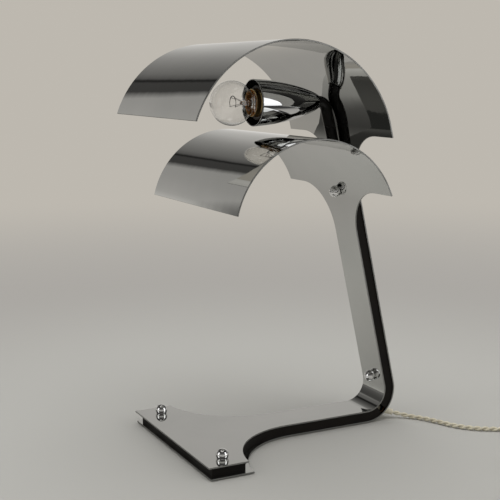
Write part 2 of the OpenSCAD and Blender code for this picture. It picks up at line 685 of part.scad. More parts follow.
// One of the two wires: from the sleeve's tip through the bend, the channel, the arm's
// flat foot beside the stud, the arm and the nipple, to its screw on the ceramic insert.
function wire_path(side) = let (
        across_sleeve = wire_side * side * unit(cross([0, 0, 1], sleeve_dir)),
        back = exit_row + [mid_x, 0, -lift],
        run_n = out_n - channel_depth / 2,
        run_r = bend_r + run_n,
        run_y = -channel_y + side * wire_side,
        flat_y = side * (stud_hole_d / 2 + wire_d / 2 + 0.1),
        flat_n = plate_t + core_t / 2,
        arm_y = side * wire_side,
        turn = [for (a = [0:20:80]) let (b = arm_tilt + (90 - arm_tilt) * a / 100)
            [arm_bend_x + arm_bend_r * cos(b), arm_y, cup_z - arm_bend_r + arm_bend_r * sin(b)]])
    concat([back + sleeve_dir * sleeve_l + across_sleeve,
            back - sleeve_dir * sleeve_in + across_sleeve],
           [bend_point(bend_r + 4.3, exit_angle + 1, run_y + 5.4),
            bend_point(bend_r + 4.6, stem_core_angle - 5, run_y + 3),
            bend_point(bend_r + 6.6, 31, run_y + 1),
            bend_point(run_r - 0.6, 22, run_y)],
           [for (a = [12:-12:-stem_lean]) bend_point(run_r, a, run_y)],
           [stem_point(run_n, tangent_l + 6, run_y), stem_point(run_n, arm_foot_v - 12, run_y),
            stem_point(run_n - 1, arm_foot_v - 8, run_y + 2), stem_point(flat_n, arm_foot_v - 2, flat_y - 1),
            stem_point(flat_n, arm_foot_v + 3, flat_y), stem_point(flat_n, core_top_v, flat_y),
            stem_point(arm_n, arm_round_v, arm_y)],
           turn,
           [[arm_bend_x - 0.5, arm_y, cup_z], [mouth_x + holder_back - 3, arm_y, cup_z],
            [mouth_x + holder_back - 8, side * 4, cup_z], [mouth_x + holder_split + 3, side * 8, cup_z],
            [mouth_x + holder_split + 0.2, side * 8, cup_z]]);

module live_wire() {
    color("saddlebrown") placed() tube(wire_path(-1), wire_d, 8);
}

module neutral_wire() {
    color("royalblue") placed() tube(wire_path(1), wire_d, 8);
}

module cord_lead() {
    color([0.87, 0.84, 0.74]) tube(lead_route, cord_d, 8);
}

module cord_middle() {
    color([0.87, 0.84, 0.74]) tube(middle_route, cord_d, 8);
}

module cord_tail() {
    color([0.87, 0.84, 0.74]) tube(tail_route, cord_d, 8);
}

module cord_coil() {
    color([0.87, 0.84, 0.74]) tube(coil_path, cord_d, 6);
}

// A band round all the coil's turns, with its twisted end.
module coil_tie() {
    band = 0.8;
    room = cord_d / 2 + 0.4;
    in_r = coil_r - coil_step * layer_turns - room;
    high = 3 * coil_step + 2 * room;
    wide = coil_r + room - in_r;
    color("dimgray") translate(coil_centre - [0, 0, room]) rotate(110) translate([in_r, 0, 0]) {
        difference() {
            translate([-band, -3, -band]) cube([wide + 2 * band, 6, high + 2 * band]);
            translate([0, -4, 0]) cube([wide, 8, high]);
        }
        translate([wide, -1, high / 2]) cube([7, 2, band]);
    }
}

// ---------- switch ----------

module round_box(size, r) {
    for (s = [[size[0] - 2 * r, size[1]], [size[0], size[1] - 2 * r]])
        translate([-s[0] / 2, -s[1] / 2, 0]) cube([s[0], s[1], size[2]]);
    for (x = [-1, 1]) for (y = [-1, 1])
        translate([x * (size[0] / 2 - r), y * (size[1] / 2 - r), 0]) cylinder(h = size[2], r = r);
}

window = [10.4, 17];
rocker_z = switch_h - 3.4;
screw_y = switch_l / 2 - 6.5;
module switch_frame() { translate(switch_end - [0, switch_l / 2, 0]) children(); }
module at_switch_screws() { for (y = [-1, 1]) translate([0, y * screw_y, 0]) children(); }

module switch_base() {
    floor_t = 2.4;
    color("whitesmoke") switch_frame() difference() {
        round_box([switch_w, switch_l, switch_split], 8);
        translate([0, 0, floor_t])
            round_box([switch_w - 2 * switch_wall, switch_l - 2 * switch_wall, switch_split], 8 - switch_wall);
        at_switch_screws() {
            translate([0, 0, -1]) cylinder(h = floor_t + 2, d = 3.3);
            translate([0, 0, -1]) cylinder(h = 2.3, d = 6.2);
        }
    }
}

module switch_cover() {
    cheek = 1.6;
    color("whitesmoke") switch_frame() {
        difference() {
            translate([0, 0, switch_split]) round_box([switch_w, switch_l, switch_h - switch_split], 8);
            translate([0, 0, switch_split - 1]) round_box([switch_w - 2 * switch_wall, switch_l - 2 * switch_wall,
                switch_h - switch_split + 1 - switch_wall], 8 - switch_wall);
            translate([-window[0] / 2, -window[1] / 2, switch_split]) cube([window[0], window[1], switch_h]);
        }
        for (side = [-1, 1]) translate([side * (window[0] / 2 + cheek / 2), 0, 0]) difference() {
            translate([-cheek / 2, -4, rocker_z - 3]) cube([cheek, 8, switch_h - switch_wall - rocker_z + 3.1]);
            translate([-cheek, 0, rocker_z]) along_n() cylinder(h = 2 * cheek, r = 1.4);
        }
        at_switch_screws() translate([0, 0, 2.6]) difference() {
            cylinder(h = switch_h - switch_wall - 2.5, d = 6);
            translate([0, 0, -1]) cylinder(h = 9, d = 3 + 2 * fit);
        }
    }
}

module switch_rocker() {
    half = window[1] / 2 - 0.9;
    color("ivory") switch_frame() translate([0, 0, rocker_z]) rotate([-rocker_tilt, 0, 0]) {
        rotate([90, 0, 90]) linear_extrude(window[0] - 0.8, center = true)
            polygon([[-half, 4.6], [-half / 2, 3.6], [0, 3.2], [half / 2, 3.6], [half, 4.6],
                     [half - 0.6, -1.2], [2, -2.6], [-2, -2.6], [-half + 0.6, -1.2]]);
        translate([-window[0] / 2 - 1.4, 0, 0]) along_n() cylinder(h = window[0] + 2.8, r = 1.1);
    }
}

module switch_contacts() {
    color("peru") switch_frame() for (side = [-1, 1]) translate([side * 6, 0, 2.4]) {
        translate([-2, -9, 0]) cube([4, 18, 0.8]);
        translate([-2, side * 7, 0]) cube([4, 0.8, 4]);
    }
}

module switch_screws() {
    color("silver") switch_frame() at_switch_screws() difference() {
        union() {
            translate([0, 0, 0.2]) cylinder(h = 1, d = 5.8);
            translate([0, 0, 0.2]) cylinder(h = 9, d = 3);
        }
        translate([0, 0, 0.3]) cube([7, 0.8, 1], center = true);
    }
}

// ---------- plug ----------

module plug_frame() { translate(plug_start) rotate([90, 0, -90]) children(); }

module plug_body() {
    back_w = 14;
    color("whitesmoke") plug_frame() difference() {
        union() {
            cylinder(h = relief_l, r1 = cord_d / 2 + 0.7, r2 = 4.8);
            for (i = [0:2]) translate([0, 0, 2 + 3.4 * i]) cylinder(h = 1.7, r = 4.4 + 0.25 * i);
            translate([0, 0, relief_l - 1]) rotate([90, 0, 0]) linear_extrude(plug_t, center = true)
                polygon([[-back_w / 2, 0], [back_w / 2, 0], [plug_w / 2, 13], [plug_w / 2, plug_l - 2],
                         [plug_w / 2 - 2, plug_l], [2 - plug_w / 2, plug_l], [-plug_w / 2, plug_l - 2],
                         [-plug_w / 2, 13]]);
        }
        for (side = [-1, 1]) translate([side * pin_span / 2, 0, relief_l - 1 + plug_l - pin_in])
            cylinder(h = pin_in + 1, d = pin_d + 2 * fit);
    }
}

module plug_pins() {
    color("silver") plug_frame() for (side = [-1, 1])
        translate([side * pin_span / 2, 0, relief_l - 1 + plug_l - pin_in]) {
            cylinder(h = pin_in + pin_l - 1.5, d = pin_d);
            translate([0, 0, pin_in + pin_l - 1.5]) cylinder(h = 1.5, d1 = pin_d, d2 = pin_d - 1.6);
        }
}

inner_plate();
outer_plate();
foot_core();
stem_core();
foot_studs();
foot_nuts();
stem_studs();
stem_nuts();
foot_pads();
arm_tube();
socket_cup();
cup_nipple();
cup_ring_nut();
holder_cap();
holder_sleeve();
holder_insert();
screw_shell();
centre_contact();
terminal_screws();
bulb_glass();
bulb_stem();
bulb_filament();
bulb_cap();
bulb_insulator();
bulb_contact();
cord_sleeve();
live_wire();
neutral_wire();
cord_lead();
switch_base();
switch_cover();
switch_rocker();
switch_contacts();
switch_screws();
cord_middle();
cord_coil();
coil_tie();
cord_tail();
plug_body();
plug_pins();
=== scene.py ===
"""Table lamp of two bent mirror plates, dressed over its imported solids.

Every size in this file is in millimetres in the lamp's own drawing frame (X from the front edge
of the foot's top plate towards the bend, Z up from that plate's top face), and becomes metres in
the row frame when a mesh is made.
"""

from __future__ import annotations

import logging
import math
from dataclasses import dataclass
from enum import Enum

import bmesh
import bpy
import numpy as np
from mathutils import Matrix, Vector

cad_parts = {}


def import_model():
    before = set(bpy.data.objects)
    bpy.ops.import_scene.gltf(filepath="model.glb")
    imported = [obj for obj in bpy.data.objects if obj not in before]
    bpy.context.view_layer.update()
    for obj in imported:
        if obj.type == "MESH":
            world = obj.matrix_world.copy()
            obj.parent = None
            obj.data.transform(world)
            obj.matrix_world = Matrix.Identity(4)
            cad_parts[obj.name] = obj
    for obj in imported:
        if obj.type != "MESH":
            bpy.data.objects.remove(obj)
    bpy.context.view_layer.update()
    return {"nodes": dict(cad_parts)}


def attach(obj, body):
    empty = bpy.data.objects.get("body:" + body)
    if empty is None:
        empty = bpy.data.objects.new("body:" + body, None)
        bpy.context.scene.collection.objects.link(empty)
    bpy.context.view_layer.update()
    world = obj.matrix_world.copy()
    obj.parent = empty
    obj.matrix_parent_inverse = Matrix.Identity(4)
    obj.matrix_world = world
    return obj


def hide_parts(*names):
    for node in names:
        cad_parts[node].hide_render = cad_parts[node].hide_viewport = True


LOG = logging.getLogger("lamp")
Object = bpy.types.Object
Socket = bpy.types.NodeSocket
Array = np.ndarray
Triple = tuple[float, float, float]
Colour = Triple
Stops = tuple[tuple[float, float], ...]

MID_X = 124.159  # the drawing frame's X at the middle of the footprint box
LIFT = 14.0  # the drawing frame's Z = 0 above the table
SHEET = 0.4  # thickness of the brass of the screw shell and of the bulb's cap
HALF_THREAD = 0.45  # half the depth of their rolled threads
PITCH = 3.63  # pitch of those threads


# ---------------------------------------------------------------- points and meshes


def to_row(points: Array) -> Array:
    """Turn drawing-frame millimetres into row-frame metres.

    Args:
        points: array of any shape that ends in x, y, z.

    Returns:
        Array of the same shape: (x - MID_X, y, z + LIFT) / 1000.
    """
    return (np.asarray(points, float) + np.array([-MID_X, 0.0, LIFT])) * 0.001


def to_drawing(points: Array) -> Array:
    """Turn row-frame millimetres into drawing-frame millimetres."""
    return np.asarray(points, float) + np.array([MID_X, 0, -LIFT])


def unit(v: Array) -> Array:
    """Each vector along the last axis divided by its length."""
    return v / np.maximum(np.linalg.norm(v, axis=-1, keepdims=True), 1e-12)


def grid_quads(rows: int, cols: int, wrap: bool = False, base: int = 0) -> Array:
    """Quads between neighbouring rows and columns of a grid of vertices.

    Args:
        rows: number of rows.
        cols: number of vertices in a row.
        wrap: whether the last column joins the first.
        base: index of the grid's first vertex.

    Returns:
        Integer array (n, 4). Vertex (i, j) has the index base + i * cols + j.
    """
    i = np.arange(rows - 1)[:, None]
    j = np.arange(cols if wrap else cols - 1)[None, :]
    a = base + i * cols + j
    b = base + i * cols + (j + 1) % cols
    return np.stack([a, b, b + cols, a + cols], -1).reshape(-1, 4)


def add_object(name: str, points: Array, faces: list[list[int]], sharp: float | None) -> Object:
    """Make a smooth-shaded mesh object at the origin from row-frame points.

    Args:
        name: the piece's name.
        points: (n, 3) vertices in metres.
        faces: vertex indices of each face.
        sharp: edges that bend by more than this many degrees stay crisp. None leaves all smooth.

    Returns:
        The new object, linked to the scene.
    """
    mesh = bpy.data.meshes.new(name)
    mesh.from_pydata(np.asarray(points, float).tolist(), [], faces)
    mesh.update()
    smooth(mesh, sharp)
    obj = bpy.data.objects.new(name, mesh)
    bpy.context.scene.collection.objects.link(obj)
    return obj


def smooth(mesh: bpy.types.Mesh, sharp: float | None) -> None:
    """Shade a mesh smooth, with edges that bend by more than sharp degrees crisp."""
    mesh.polygons.foreach_set("use_smooth", np.ones(len(mesh.polygons), bool))
    if sharp is not None:
        mesh.set_sharp_from_angle(angle=math.radians(sharp))


def merge_close(obj: Object, distance: float = 1e-6) -> None:
    """Merge vertices closer than a distance in metres and turn the faces outwards.

    It closes poles, and drops the faces that collapse.
    """
    bm = bmesh.new()
    bm.from_mesh(obj.data)
    bmesh.ops.remove_doubles(bm, verts=bm.verts, dist=distance)
    bmesh.ops.recalc_face_normals(bm, faces=bm.faces)
    bm.to_mesh(obj.data)
    bm.free()


def per_face(obj: Object, what: str) -> Array:
    """Each face's "center" or "normal", as (n, 3)."""
    values = np.empty(len(obj.data.polygons) * 3)
    obj.data.polygons.foreach_get(what, values)
    return values.reshape(-1, 3)


def use_second(obj: Object, chosen: Array) -> None:
    """Give the chosen faces the object's second material."""
    obj.data.polygons.foreach_set("material_index", chosen.astype(np.int32))


def eased(points: Array, cut: float, steps: int = 3, closed: bool = True) -> Array:
    """Ease a profile's corners: each one becomes a parabola between points cut away from it.

    Args:
        points: (n, 2) profile corners.
        cut: distance before and after a corner, at most 0.45 of the edge there.
        steps: straight steps of each parabola.
        closed: whether the last point joins the first. An open profile keeps its two ends.

    Returns:
        (m, 2) points of the eased profile.
    """
    p = np.asarray(points, float)
    t = np.linspace(0, 1, steps + 1)[None, :, None]

    def part_way(q: Array) -> Array:
        """Points on the way from each corner to its neighbour q."""
        d = q - p
        length = np.maximum(np.linalg.norm(d, axis=1, keepdims=True), 1e-9)
        return p + d / length * np.minimum(cut, 0.45 * length)

    a, b = part_way(np.roll(p, 1, 0)), part_way(np.roll(p, -1, 0))
    curve = (1 - t) ** 2 * a[:, None] + 2 * t * (1 - t) * p[:, None] + t**2 * b[:, None]
    if closed:
        return curve.reshape(-1, 2)
    return np.vstack([p[:1], curve[1:-1].reshape(-1, 2), p[-1:]])


@dataclass(frozen=True)
class Axis:
    """A turning axis in the drawing frame: s runs along it, r away from it.

    Attributes:
        origin: point where s is 0.
        along: direction of s.
        side: any direction that isn't along the axis. Angle 0 points that way.
    """

    origin: Triple
    along: Triple
    side: Triple = (0.0, 0.0, 1.0)

    def point(self, r: Array, s: Array, angle: Array) -> Array:
        """Point at radius r, depth s and angle: origin + s along + r (cos side + sin across)."""
        w = unit(np.array(self.along, float))
        u = np.array(self.side, float)
        u = unit(u - (u @ w) * w)
        v = np.cross(w, u)
        r, s, angle = np.broadcast_arrays(r, s, angle)
        return (
            np.array(self.origin, float)
            + s[..., None] * w
            + (r * np.cos(angle))[..., None] * u
            + (r * np.sin(angle))[..., None] * v
        )


def turned(name: str, axis: Axis, profile: Array, sides: int, closed: bool = True) -> Object:
    """Turn a profile round an axis into a closed surface.

    The surface is P(k, angle) = axis.point(r_k, s_k, angle), over a grid of profile points by
    angles. A profile that isn't closed begins and ends on the axis.

    Args:
        name: the piece's name.
        axis: the turning axis.
        profile: (n, 2) array of r and s.
        sides: number of angles.
        closed: whether the profile's last point joins its first.

    Returns:
        The new object.
    """
    p = np.asarray(profile, float)
    if closed:
        p = np.vstack([p, p[:1]])
    angle = np.linspace(0, 2 * np.pi, sides, endpoint=False)
    points = axis.point(p[:, :1], p[:, 1:], angle[None, :]).reshape(-1, 3)
    obj = add_object(name, to_row(points), grid_quads(len(p), sides, True).tolist(), None)
    merge_close(obj)
    smooth(obj.data, 35)
    return obj


def joined(name: str, parts: list[Object]) -> Object:
    """Join mesh objects into one with a given name, and return it."""
    with bpy.context.temp_override(
        active_object=parts[0], selected_editable_objects=parts, selected_objects=parts
    ):
        bpy.ops.object.join()
    parts[0].name = parts[0].data.name = name
    return parts[0]


def smooth_path(points: Array, spacing: float) -> Array:
    """A curve through points by Catmull-Rom pieces, with points at an even spacing.

    Between points b and c, with neighbours a and d, a point at t is half of
    2b + (c - a) t + (2a - 5b + 4c - d) t^2 + (3b - a - 3c + d) t^3.

    Args:
        points: (n, 3) points to pass through.
        spacing: distance wanted between the points that come back.

    Returns:
        (m, 3) points from the first point to the last.
    """
    p = np.asarray(points, float)
    p = np.vstack([2 * p[0] - p[1], p, 2 * p[-1] - p[-2]])
    a, b, c, d = (q[:, None] for q in (p[:-3], p[1:-2], p[2:-1], p[3:]))
    t = np.linspace(0, 1, 16, endpoint=False)[None, :, None]
    fine = 0.5 * (
        2 * b
        + (c - a) * t
        + (2 * a - 5 * b + 4 * c - d) * t**2
        + (3 * b - a - 3 * c + d) * t**3
    )
    fine = np.vstack([fine.reshape(-1, 3), p[-2:-1]])
    run = np.concatenate([[0], np.cumsum(np.linalg.norm(np.diff(fine, axis=0), axis=1))])
    even = np.linspace(0, run[-1], max(2, int(round(run[-1] / spacing)) + 1))
    return np.stack([np.interp(even, run, fine[:, k]) for k in range(3)], -1)


def path_frames(path: Array, up: Array) -> tuple[Array, Array, Array]:
    """Direction, side and up at each point of a path.

    Args:
        path: (n, 3) points.
        up: a direction, or one for each point, that is never along the path.

    Returns:
        Unit directions along the path, across it and up, each (n, 3).
    """
    along = unit(np.gradient(path, axis=0))
    side = unit(np.cross(along, np.broadcast_to(np.asarray(up, float), along.shape)))
    return along, side, np.cross(side, along)


def tube_mesh(path: Array, r: float, sides: int, up: Array) -> tuple[Array, list[list[int]]]:
    """A round tube along a path, closed by a low dome at each end.

    Ring i is path_i + r (cos k side_i + sin k up_i) over the angles k.

    Args:
        path: (n, 3) points.
        r: radius.
        sides: vertices of a ring.
        up: passed to path_frames.

    Returns:
        Vertices (m, 3) and faces.
    """
    along, side, top = path_frames(path, up)
    k = np.linspace(0, 2 * np.pi, sides, endpoint=False)
    ring = np.cos(k)[None, :, None] * side[:, None] + np.sin(k)[None, :, None] * top[:, None]
    rims, tips = [], []
    for i, way in ((0, -1.0), (-1, 1.0)):
        rims.append((path[i] + 0.7 * r * ring[i] + way * 0.35 * r * along[i])[None])
        tips.append(path[i] + way * 0.45 * r * along[i])
    rings = np.concatenate([rims[0], path[:, None] + r * ring, rims[1]])
    n = len(rings)
    faces = grid_quads(n, sides, True).tolist()
    j = np.arange(sides)
    after, last = (j + 1) % sides, (n - 1) * sides
    faces += np.stack([after, j, np.full(sides, n * sides)], -1).tolist()
    faces += np.stack([last + j, last + after, np.full(sides, n * sides + 1)], -1).tolist()
    return np.vstack([rings.reshape(-1, 3), tips]), faces


def rod_object(name: str, runs: list[tuple[Array, float]], sides: int, up: Array) -> Object:
    """One object made of several round tubes.

    Args:
        name: the piece's name.
        runs: for each tube its path in the drawing frame and its radius.
        sides: vertices round each tube.
        up: passed to path_frames.

    Returns:
        The new object.
    """
    points, faces, base = [], [], 0
    for path, radius in runs:
        p, f = tube_mesh(np.asarray(path, float), radius, sides, up)
        points.append(p)
        faces += [[base + i for i in face] for face in f]
        base += len(p)
    obj = add_object(name, to_row(np.vstack(points)), faces, 50)
    merge_close(obj)
    return obj


# ---------------------------------------------------------------- node trees and finishes


def rgba(colour: Colour) -> tuple[float, float, float, float]:
    """A colour with full opacity."""
    return (*colour, 1.0)


class Graph:
    """Short ways to add nodes to a node tree. An input takes a plain value or an output socket."""

    def __init__(self, tree: bpy.types.NodeTree) -> None:
        """Work on a tree."""
        self.tree = tree

    def feed(self, node: bpy.types.Node, inputs: dict) -> None:
        """Set or link a node's inputs, given by name or number."""
        for key, value in inputs.items():
            if isinstance(value, Socket):
                self.tree.links.new(value, node.inputs[key])
            else:
                node.inputs[key].default_value = value

    def node(self, kind: str, inputs: dict | None = None, **settings) -> bpy.types.Node:
        """Add a node.

        Args:
            kind: its type without the leading "ShaderNode".
            inputs: passed to feed.
            **settings: values of the node's own attributes.

        Returns:
            The node.
        """
        made = self.tree.nodes.new(f"ShaderNode{kind}")
        for key, value in settings.items():
            setattr(made, key, value)
        self.feed(made, inputs or {})
        return made

    def math(self, operation: str, *values: Socket | float) -> Socket:
        """Output of a Math node."""
        return self.node("Math", dict(enumerate(values)), operation=operation).outputs[0]

    def spread(
        self, value: Socket, low: float, high: float, *ends: float, kind: str = "LINEAR"
    ) -> Socket:
        """A value's place from low to high, clamped, as 0 to 1 or as the two ends given."""
        inputs = {"Value": value, "From Min": low, "From Max": high}
        inputs |= dict(zip(("To Min", "To Max"), ends))
        return self.node("MapRange", inputs, interpolation_type=kind).outputs["Result"]

    def mix(self, share: Socket | float, a, b, blend: str = "MIX") -> Socket:
        """Two colours mixed or blended."""
        node = self.node("Mix", data_type="RGBA", blend_type=blend)
        self.feed(node, {0: share, 6: a, 7: b})
        return node.outputs[2]

    def choose(self, share: Socket, a: Socket, b: Socket) -> Socket:
        """Shader a where the share is 0, b where it is 1."""
        return self.node("MixShader", {0: share, 1: a, 2: b}).outputs[0]

    def ramp(self, value: Socket, stops: Stops, limit: float) -> Socket:
        """Grey level read off straight lines between stops.

        Args:
            value: from -limit to limit.
            stops: value and level of each stop.
            limit: the greatest value.

        Returns:
            The level's socket.
        """
        made = self.node("ValToRGB", {"Fac": self.spread(value, -limit, limit)})
        line = made.color_ramp.elements
        line.remove(line[-1])
        for k, (at, level) in enumerate(stops):
            place = (at + limit) / (2 * limit)
            stop = line.new(place) if k else line[0]
            stop.position = place
            stop.color = rgba((level, level, level))
        return made.outputs["Color"]

    def grain(self, patch: float, fine: float) -> bpy.types.NodeOutputs:
        """Outputs Mask and Height of the shared grain on object coordinates.

        Args:
            patch: scale of the slow patches.
            fine: scale of the fine relief.

        Returns:
            The outputs of the group's node.
        """
        at = self.node("TexCoord").outputs["Object"]
        inputs = {"Vector": at, "Patch Scale": patch, "Grain Scale": fine}
        return self.node("Group", inputs, node_tree=grain_group()).outputs

    def bump(self, strength: float, depth: float, height: Socket, *under: Socket) -> Socket:
        """Normal bumped by a height of some depth in metres, over the normal under it if any."""
        inputs = {"Strength": strength, "Distance": depth, "Height": height}
        inputs |= dict(zip(("Normal",), under))
        return self.node("Bump", inputs).outputs["Normal"]


def grain_group() -> bpy.types.NodeTree:
    """The shader group that all finishes share, built once.

    Returns:
        The group. From Vector, Patch Scale and Grain Scale it makes Mask, slow uneven patches from
        0 to 1, and Height, the fine relief.
    """
    name = "uneven_surface"
    if name in bpy.data.node_groups:
        return bpy.data.node_groups[name]
    tree = bpy.data.node_groups.new(name, "ShaderNodeTree")
    for socket, way, kind in (
        ("Vector", "INPUT", "Vector"),
        ("Patch Scale", "INPUT", "Float"),
        ("Grain Scale", "INPUT", "Float"),
        ("Mask", "OUTPUT", "Float"),
        ("Height", "OUTPUT", "Float"),
    ):
        tree.interface.new_socket(socket, in_out=way, socket_type=f"NodeSocket{kind}")
    graph = Graph(tree)
    start, end = tree.nodes.new("NodeGroupInput").outputs, tree.nodes.new("NodeGroupOutput")
    patch, fine = (
        graph.node("TexNoise", {"Vector": start[0], "Scale": start[scale], "Detail": detail})
        for scale, detail in (("Patch Scale", 3.0), ("Grain Scale", 2.0))
    )
    mask = graph.spread(patch.outputs["Fac"], 0.3, 0.7)
    graph.feed(end, {"Mask": mask, "Height": fine.outputs["Fac"]})
    return tree


class Stuff(Enum):
    """What a finish lies on, as the shader's metallic value."""

    METAL = 1.0
    PLAIN = 0.0


@dataclass(frozen=True)
class Surface:
    """A material that is built once.

    Attributes:
        name: the record's slot, or a name of its own where it has none.
    """

    name: str

    def material(self) -> bpy.types.Material:
        """Build the material, or return it if it is there already."""
        label = f"{self.name}_finish"  # the frame has its own materials under the plain names
        made = bpy.data.materials.get(label)
        if made is None:
            made = bpy.data.materials.new(label)
            made.use_nodes = True
            self.shade(Graph(made.node_tree), made.node_tree.nodes["Principled BSDF"])
        return made

    def shade(self, graph: Graph, shader: bpy.types.Node) -> None:
        """Feed the Principled shader.

        Args:
            graph: the material's nodes.
            shader: its Principled node.
        """
        raise NotImplementedError


@dataclass(frozen=True)
class Finish(Surface):
    """A surface finish as one Principled shader over the shared grain.

    Attributes:
        colour: linear colour where the surface is clean.
        worn: linear colour of the patches.
        stuff: metal or not.
        rough: roughness where the mask is 0 and where it is 1.
        patch: patches per metre, roughly.
        fine: grains per metre, roughly.
        relief: depth of the fine relief in metres.
        coat: weight of a clear coat.
        specular: strength of the plain reflection of a finish that isn't metal.
        wave: depth of the slow waves of a polished surface in metres.
    """

    colour: Colour
    worn: Colour
    stuff: Stuff
    rough: tuple[float, float]
    patch: float
    fine: float
    relief: float = 0.0
    coat: float = 0.0
    specular: float = 0.5
    wave: float = 0.0

    def shade(self, graph: Graph, shader: bpy.types.Node) -> None:
        """Feed the Principled shader.

        Args:
            graph: the material's nodes.
            shader: its Principled node.
        """
        grain = graph.grain(self.patch, self.fine)
        inputs = {
            "Metallic": self.stuff.value,
            "Coat Weight": self.coat,
            "Specular IOR Level": self.specular,
            "Base Color": graph.mix(grain["Mask"], rgba(self.colour), rgba(self.worn)),
            "Roughness": graph.spread(grain["Mask"], 0.0, 1.0, *self.rough),
        }
        normal = ()
        for depth, height in ((self.wave, "Mask"), (self.relief, "Height")):
            if depth > 0:
                normal = (graph.bump(1.0, depth, grain[height], *normal),)
        graph.feed(shader, inputs | dict(zip(("Normal",), normal)))


@dataclass(frozen=True)
class GlassFinish(Surface):
    """Clear blown glass, a little uneven, that casts no shadow of its own.

    Attributes:
        ior: index of refraction.
        relief: depth of the slow waves of the blown surface, in metres.
    """

    ior: float = 1.5
    relief: float = 0.00002

    def shade(self, graph: Graph, shader: bpy.types.Node) -> None:
        """Feed the Principled shader, and let shadow rays through.

        Args:
            graph: the material's nodes.
            shader: its Principled node.
        """
        inputs = {
            "Base Color": rgba((1.0, 1.0, 1.0)),
            "Transmission Weight": 1.0,
            "Roughness": 0.0,
            "IOR": self.ior,
            "Normal": graph.bump(0.4, self.relief, graph.grain(30.0, 60.0)["Height"]),
        }
        graph.feed(shader, inputs)
        shadow = graph.node("LightPath").outputs["Is Shadow Ray"]
        clear = graph.node("BsdfTransparent").outputs[0]
        end = graph.choose(shadow, shader.outputs[0], clear)
        graph.feed(graph.tree.nodes["Material Output"], {"Surface": end})


METAL, PLAIN = Stuff.METAL, Stuff.PLAIN
# fmt: off
FINISHES: dict[str, Surface] = {
    finish.name: finish
    for finish in (
        Finish("mirror_steel", (0.61, 0.61, 0.595), (0.57, 0.575, 0.56), METAL, (0.012, 0.045),
               14, 300, wave=5e-5),
        Finish("cut_edge", (0.30, 0.30, 0.29), (0.22, 0.22, 0.21), METAL, (0.34, 0.5),
               60, 1800, 1e-5),
        Finish("black_core", (0.006, 0.0045, 0.004), (0.010, 0.008, 0.006), PLAIN, (0.4, 0.6),
               40, 1500, 2e-5, specular=0.12),
        Finish("bright_nut", (0.88, 0.88, 0.88), (0.8, 0.8, 0.8), METAL, (0.02, 0.06), 60, 900),
        Finish("plain_steel", (0.5, 0.5, 0.5), (0.38, 0.38, 0.37), METAL, (0.25, 0.42),
               90, 2500, 1e-5),
        Finish("pad_rubber", (0.02, 0.02, 0.02), (0.035, 0.034, 0.032), PLAIN, (0.7, 0.9),
               120, 3000, 3e-5),
        Finish("black_paint", (0.006, 0.0055, 0.005), (0.010, 0.009, 0.008), PLAIN, (0.22, 0.34),
               30, 1800, 1e-5, specular=0.3),
        Finish("chrome_cup", (0.70, 0.71, 0.72), (0.66, 0.66, 0.66), METAL, (0.012, 0.035),
               30, 500),
        Finish("cup_black", (0.008, 0.007, 0.006), (0.02, 0.017, 0.014), PLAIN, (0.45, 0.65),
               60, 1200, 3e-5),
        Finish("brass", (0.72, 0.48, 0.17), (0.5, 0.32, 0.12), METAL, (0.22, 0.4), 80, 1600, 1e-5),
        Finish("holder_plastic", (0.02, 0.014, 0.01), (0.035, 0.022, 0.014), PLAIN, (0.3, 0.5),
               70, 1500, 2e-5),
        Finish("ceramic", (0.8, 0.76, 0.66), (0.7, 0.65, 0.55), PLAIN, (0.2, 0.35),
               80, 1500, 2e-5),
        GlassFinish("bulb_clear"),
        Finish("filament_metal", (0.12, 0.11, 0.1), (0.2, 0.19, 0.18), METAL, (0.3, 0.5),
               200, 4000),
        Finish("bulb_cap_metal", (0.66, 0.5, 0.24), (0.5, 0.36, 0.16), METAL, (0.25, 0.45),
               90, 1800, 2e-5),
        Finish("bulb_cap_cement", (0.85, 0.36, 0.07), (0.55, 0.2, 0.03), PLAIN, (0.3, 0.5),
               260, 900, 1e-4),
        Finish("bulb_black", (0.02, 0.015, 0.02), (0.05, 0.04, 0.05), PLAIN, (0.15, 0.3),
               90, 1200, 2e-5),
        Finish("sleeve_plastic", (0.74, 0.69, 0.56), (0.64, 0.59, 0.46), PLAIN, (0.4, 0.55),
               60, 2200, 2e-5),
        Finish("live_insulation", (0.2, 0.08, 0.03), (0.15, 0.06, 0.02), PLAIN, (0.3, 0.42),
               60, 2000),
        Finish("neutral_insulation", (0.04, 0.11, 0.4), (0.03, 0.09, 0.3), PLAIN, (0.3, 0.42),
               60, 2000),
        Finish("cord_cover", (0.70, 0.66, 0.52), (0.60, 0.55, 0.42), PLAIN, (0.28, 0.45),
               35, 2600, 2e-5, 0.15),
        Finish("white_plastic", (0.72, 0.69, 0.6), (0.65, 0.61, 0.5), PLAIN, (0.25, 0.4),
               40, 2400, 1e-5, 0.1),
        Finish("rocker_plastic", (0.62, 0.57, 0.45), (0.55, 0.5, 0.38), PLAIN, (0.22, 0.36),
               60, 2400, 1e-5),
        Finish("tie_plastic", (0.02, 0.02, 0.02), (0.04, 0.04, 0.04), PLAIN, (0.4, 0.6),
               100, 2600, 2e-5),
        Finish("pin_metal", (0.72, 0.69, 0.62), (0.6, 0.57, 0.5), METAL, (0.18, 0.32), 120, 2400),
    )
}
# fmt: on


def dress(obj: Object, *names: str) -> Object:
    """Put the finishes of those names in an object's material slots in order, and return it."""
    obj.data.materials.clear()
    for name in names:
        obj.data.materials.append(FINISHES[name].material())
    return obj


